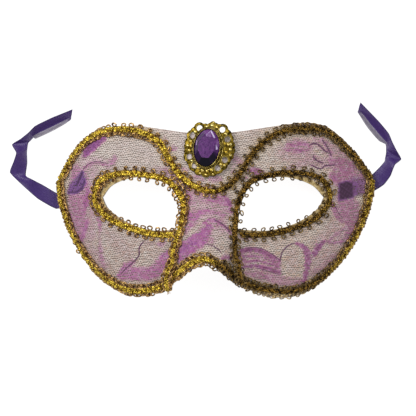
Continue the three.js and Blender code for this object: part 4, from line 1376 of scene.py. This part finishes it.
bpy.ops.object.select_all(action="DESELECT")
bpy.ops.mesh.primitive_cylinder_add(
    vertices=64, radius=1, depth=TABLE_HEIGHT - FOOT_HEIGHT,
    location=(0, 0, (TABLE_HEIGHT + FOOT_HEIGHT) / 2))
stone = bpy.context.object
stone.name = stone.data.name = "stone"
bpy.ops.object.transform_apply(location=True)
bpy.ops.object.mode_set(mode="EDIT")
for count, first, (r1, z1), (r2, z2) in CUTS:
    for i in range(count):
        angle = math.radians(first + 360 * i / count)
        c, s = math.cos(angle), math.sin(angle)
        facing = Vector(((z2 - z1) * c, (z2 - z1) * s, r1 - r2)).normalized()
        bpy.ops.mesh.select_all(action="SELECT")
        bpy.ops.mesh.bisect(
            plane_co=(r1 * c, r1 * s, z1), plane_no=facing, use_fill=True, clear_outer=True)
bpy.ops.mesh.select_all(action="SELECT")
bpy.ops.mesh.remove_doubles(threshold=0.001)
bpy.ops.object.mode_set(mode="OBJECT")
for vertex in stone.data.vertices:
    above = max(0, vertex.co.z - GIRDLE_HEIGHT)
    vertex.co.y += TABLE_SHIFT * above / (TABLE_HEIGHT - GIRDLE_HEIGHT)
bpy.ops.object.mode_set(mode="EDIT")
scored = [(22.5 + 45 * k, TABLE_RADIUS) for k in range(8)]
# The faces are also scored along the edges of the painted reflections, so that they end sharply
for turn, near, far, low, high, _ in PAINTED_REFLECTIONS:
    scored += [(turn, near), (turn, far), (turn + 90, low), (turn + 90, high)]
for turn, away in scored:
    c, s = math.cos(math.radians(turn)), math.sin(math.radians(turn))
    bpy.ops.mesh.select_all(action="SELECT")
    bpy.ops.mesh.bisect(plane_co=(away * c, away * s, 0), plane_no=(c, s, 0))
bpy.ops.mesh.select_all(action="SELECT")
bpy.ops.mesh.normals_make_consistent(inside=False)
bpy.ops.transform.resize(value=(w, h, 1))
bpy.ops.transform.translate(value=(CUP_SHIFT, 0, 0))
bpy.ops.object.mode_set(mode="OBJECT")

# Painted light and shade on the stone: the table keeps a mid purple with small random changes, the
# other facets are painted lit or shaded by the way they face, the girdle darker, and the bands of
# painted reflections brightest
tones = []
cutting = random.Random(4)
for face in stone.data.polygons:
    x, y = (face.center.x - CUP_SHIFT) / w, face.center.y / h
    if face.normal.z > 0.98:
        tone = 0.55 + cutting.uniform(-0.09, 0.06)
    else:
        faces_to = math.degrees(math.atan2(face.normal.y * h, face.normal.x * w))
        tone = np.interp(faces_to, FACET_TURNS, PAINTED_FACET_LIGHT)
        tone *= 0.75 if face.normal.z < 0.05 else 1
    # A face inside a band of painted reflection takes its brightness
    for turn, near, far, low, high, bright in PAINTED_REFLECTIONS:
        c, s = math.cos(math.radians(turn)), math.sin(math.radians(turn))
        if near < x * c + y * s < far and low < y * c - x * s < high:
            tone = bright
    tones.append(tone)
hold_value(stone, "facet_light_and_shade", tones, "FACE")
stone.data.transform(jewel_place)

glass = Finish(
    "purple_glass", IOR=1.6, Roughness=0.12, Coat_Weight=0.05, Coat_Roughness=0.03,
    Specular_IOR_Level=0.2)
cloud = glass.noise(glass.stretched(glass.place(), (420, 150, 150)), 1.0, 3, 0.6)
tone = glass.maths("ADD", glass.own("facet_light_and_shade"), glass.between(cloud, 0.3, 0.7, -0.06, 0.06))
# From near black to lavender white: the stone's purple with its painted shade and painted
# highlights
colour = glass.tint((0.006, 0.005, 0.012), (0.05, 0.012, 0.09), tone, 0.1, 0.4)
colour = glass.tint(colour, (0.18, 0.056, 0.24), tone, 0.4, 0.66)
colour = glass.tint(colour, (0.72, 0.6, 0.9), tone, 0.66, 0.96)
glass.gives("Base Color", colour)
stone.data.materials.append(glass.material)
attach(stone, "root")
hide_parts("jewel_stone")

# Table, light and view
# A plain pale table, one broad soft light from the upper left and a weaker one from the right.

SKY_STRENGTH = 0.28
LIGHT_AIM = (0, 0, 0.02)
VIEW_MIDDLE = (-0.00028, -0.00124, 0.01995)
VIEW_DISTANCE = 0.9
VIEW_WIDTH = 0.2471
VIEW_TURN = math.radians(6)
VIEW_LEFT = 0.00178
VIEW_UP = 0.00059

bpy.ops.object.select_all(action="DESELECT")
bpy.ops.mesh.primitive_plane_add(size=6)
table = bpy.context.object
table.name = "table"
pale = Finish("pale_table", Roughness=0.9, Emission_Strength=0.9, Emission_Color=(1, 1, 1, 1),
              Specular_IOR_Level=0.0)
grainy = pale.noise(pale.place(), 30, 2)
pale.gives("Base Color", pale.blend(grainy, (0.28, 0.28, 0.28), (0.32, 0.32, 0.32)))
table.data.materials.append(pale.material)


def soft_light(name, location, size, watts):
    data = bpy.data.lights.new(name, "AREA")
    data.shape = "DISK"
    data.size = size
    data.energy = watts
    light = bpy.data.objects.new(name, data)
    bpy.context.collection.objects.link(light)
    light.location = location
    down = Vector(LIGHT_AIM) - Vector(location)
    light.rotation_euler = down.to_track_quat("-Z", "Y").to_euler()


soft_light("window", (-0.6, 0.5, 1.0), 0.75, 8.4)
soft_light("bounce", (0.7, 0.1, 1.1), 0.9, 4.5)
world = bpy.data.worlds.new("studio")
bpy.context.scene.world = world
world.use_nodes = True
sky = world.node_tree.nodes["Background"].inputs
sky["Color"].default_value = (0.95, 0.96, 1.0, 1)
sky["Strength"].default_value = SKY_STRENGTH

toward = Vector((math.sin(VIEW_TURN), 0, math.cos(VIEW_TURN)))
right = Vector((math.cos(VIEW_TURN), 0, -math.sin(VIEW_TURN)))
camera_data = bpy.data.cameras.new("camera")
camera_data.sensor_width = 36
camera_data.lens = 36 * VIEW_DISTANCE / VIEW_WIDTH
camera = bpy.data.objects.new("camera", camera_data)
bpy.context.collection.objects.link(camera)
camera.location = (Vector(VIEW_MIDDLE) + VIEW_DISTANCE * toward - VIEW_LEFT * right
                   + Vector((0, VIEW_UP, 0)))
camera.rotation_euler = (0, VIEW_TURN, 0)
bpy.context.scene.camera = camera
bpy.context.scene.view_settings.view_transform = "Standard"
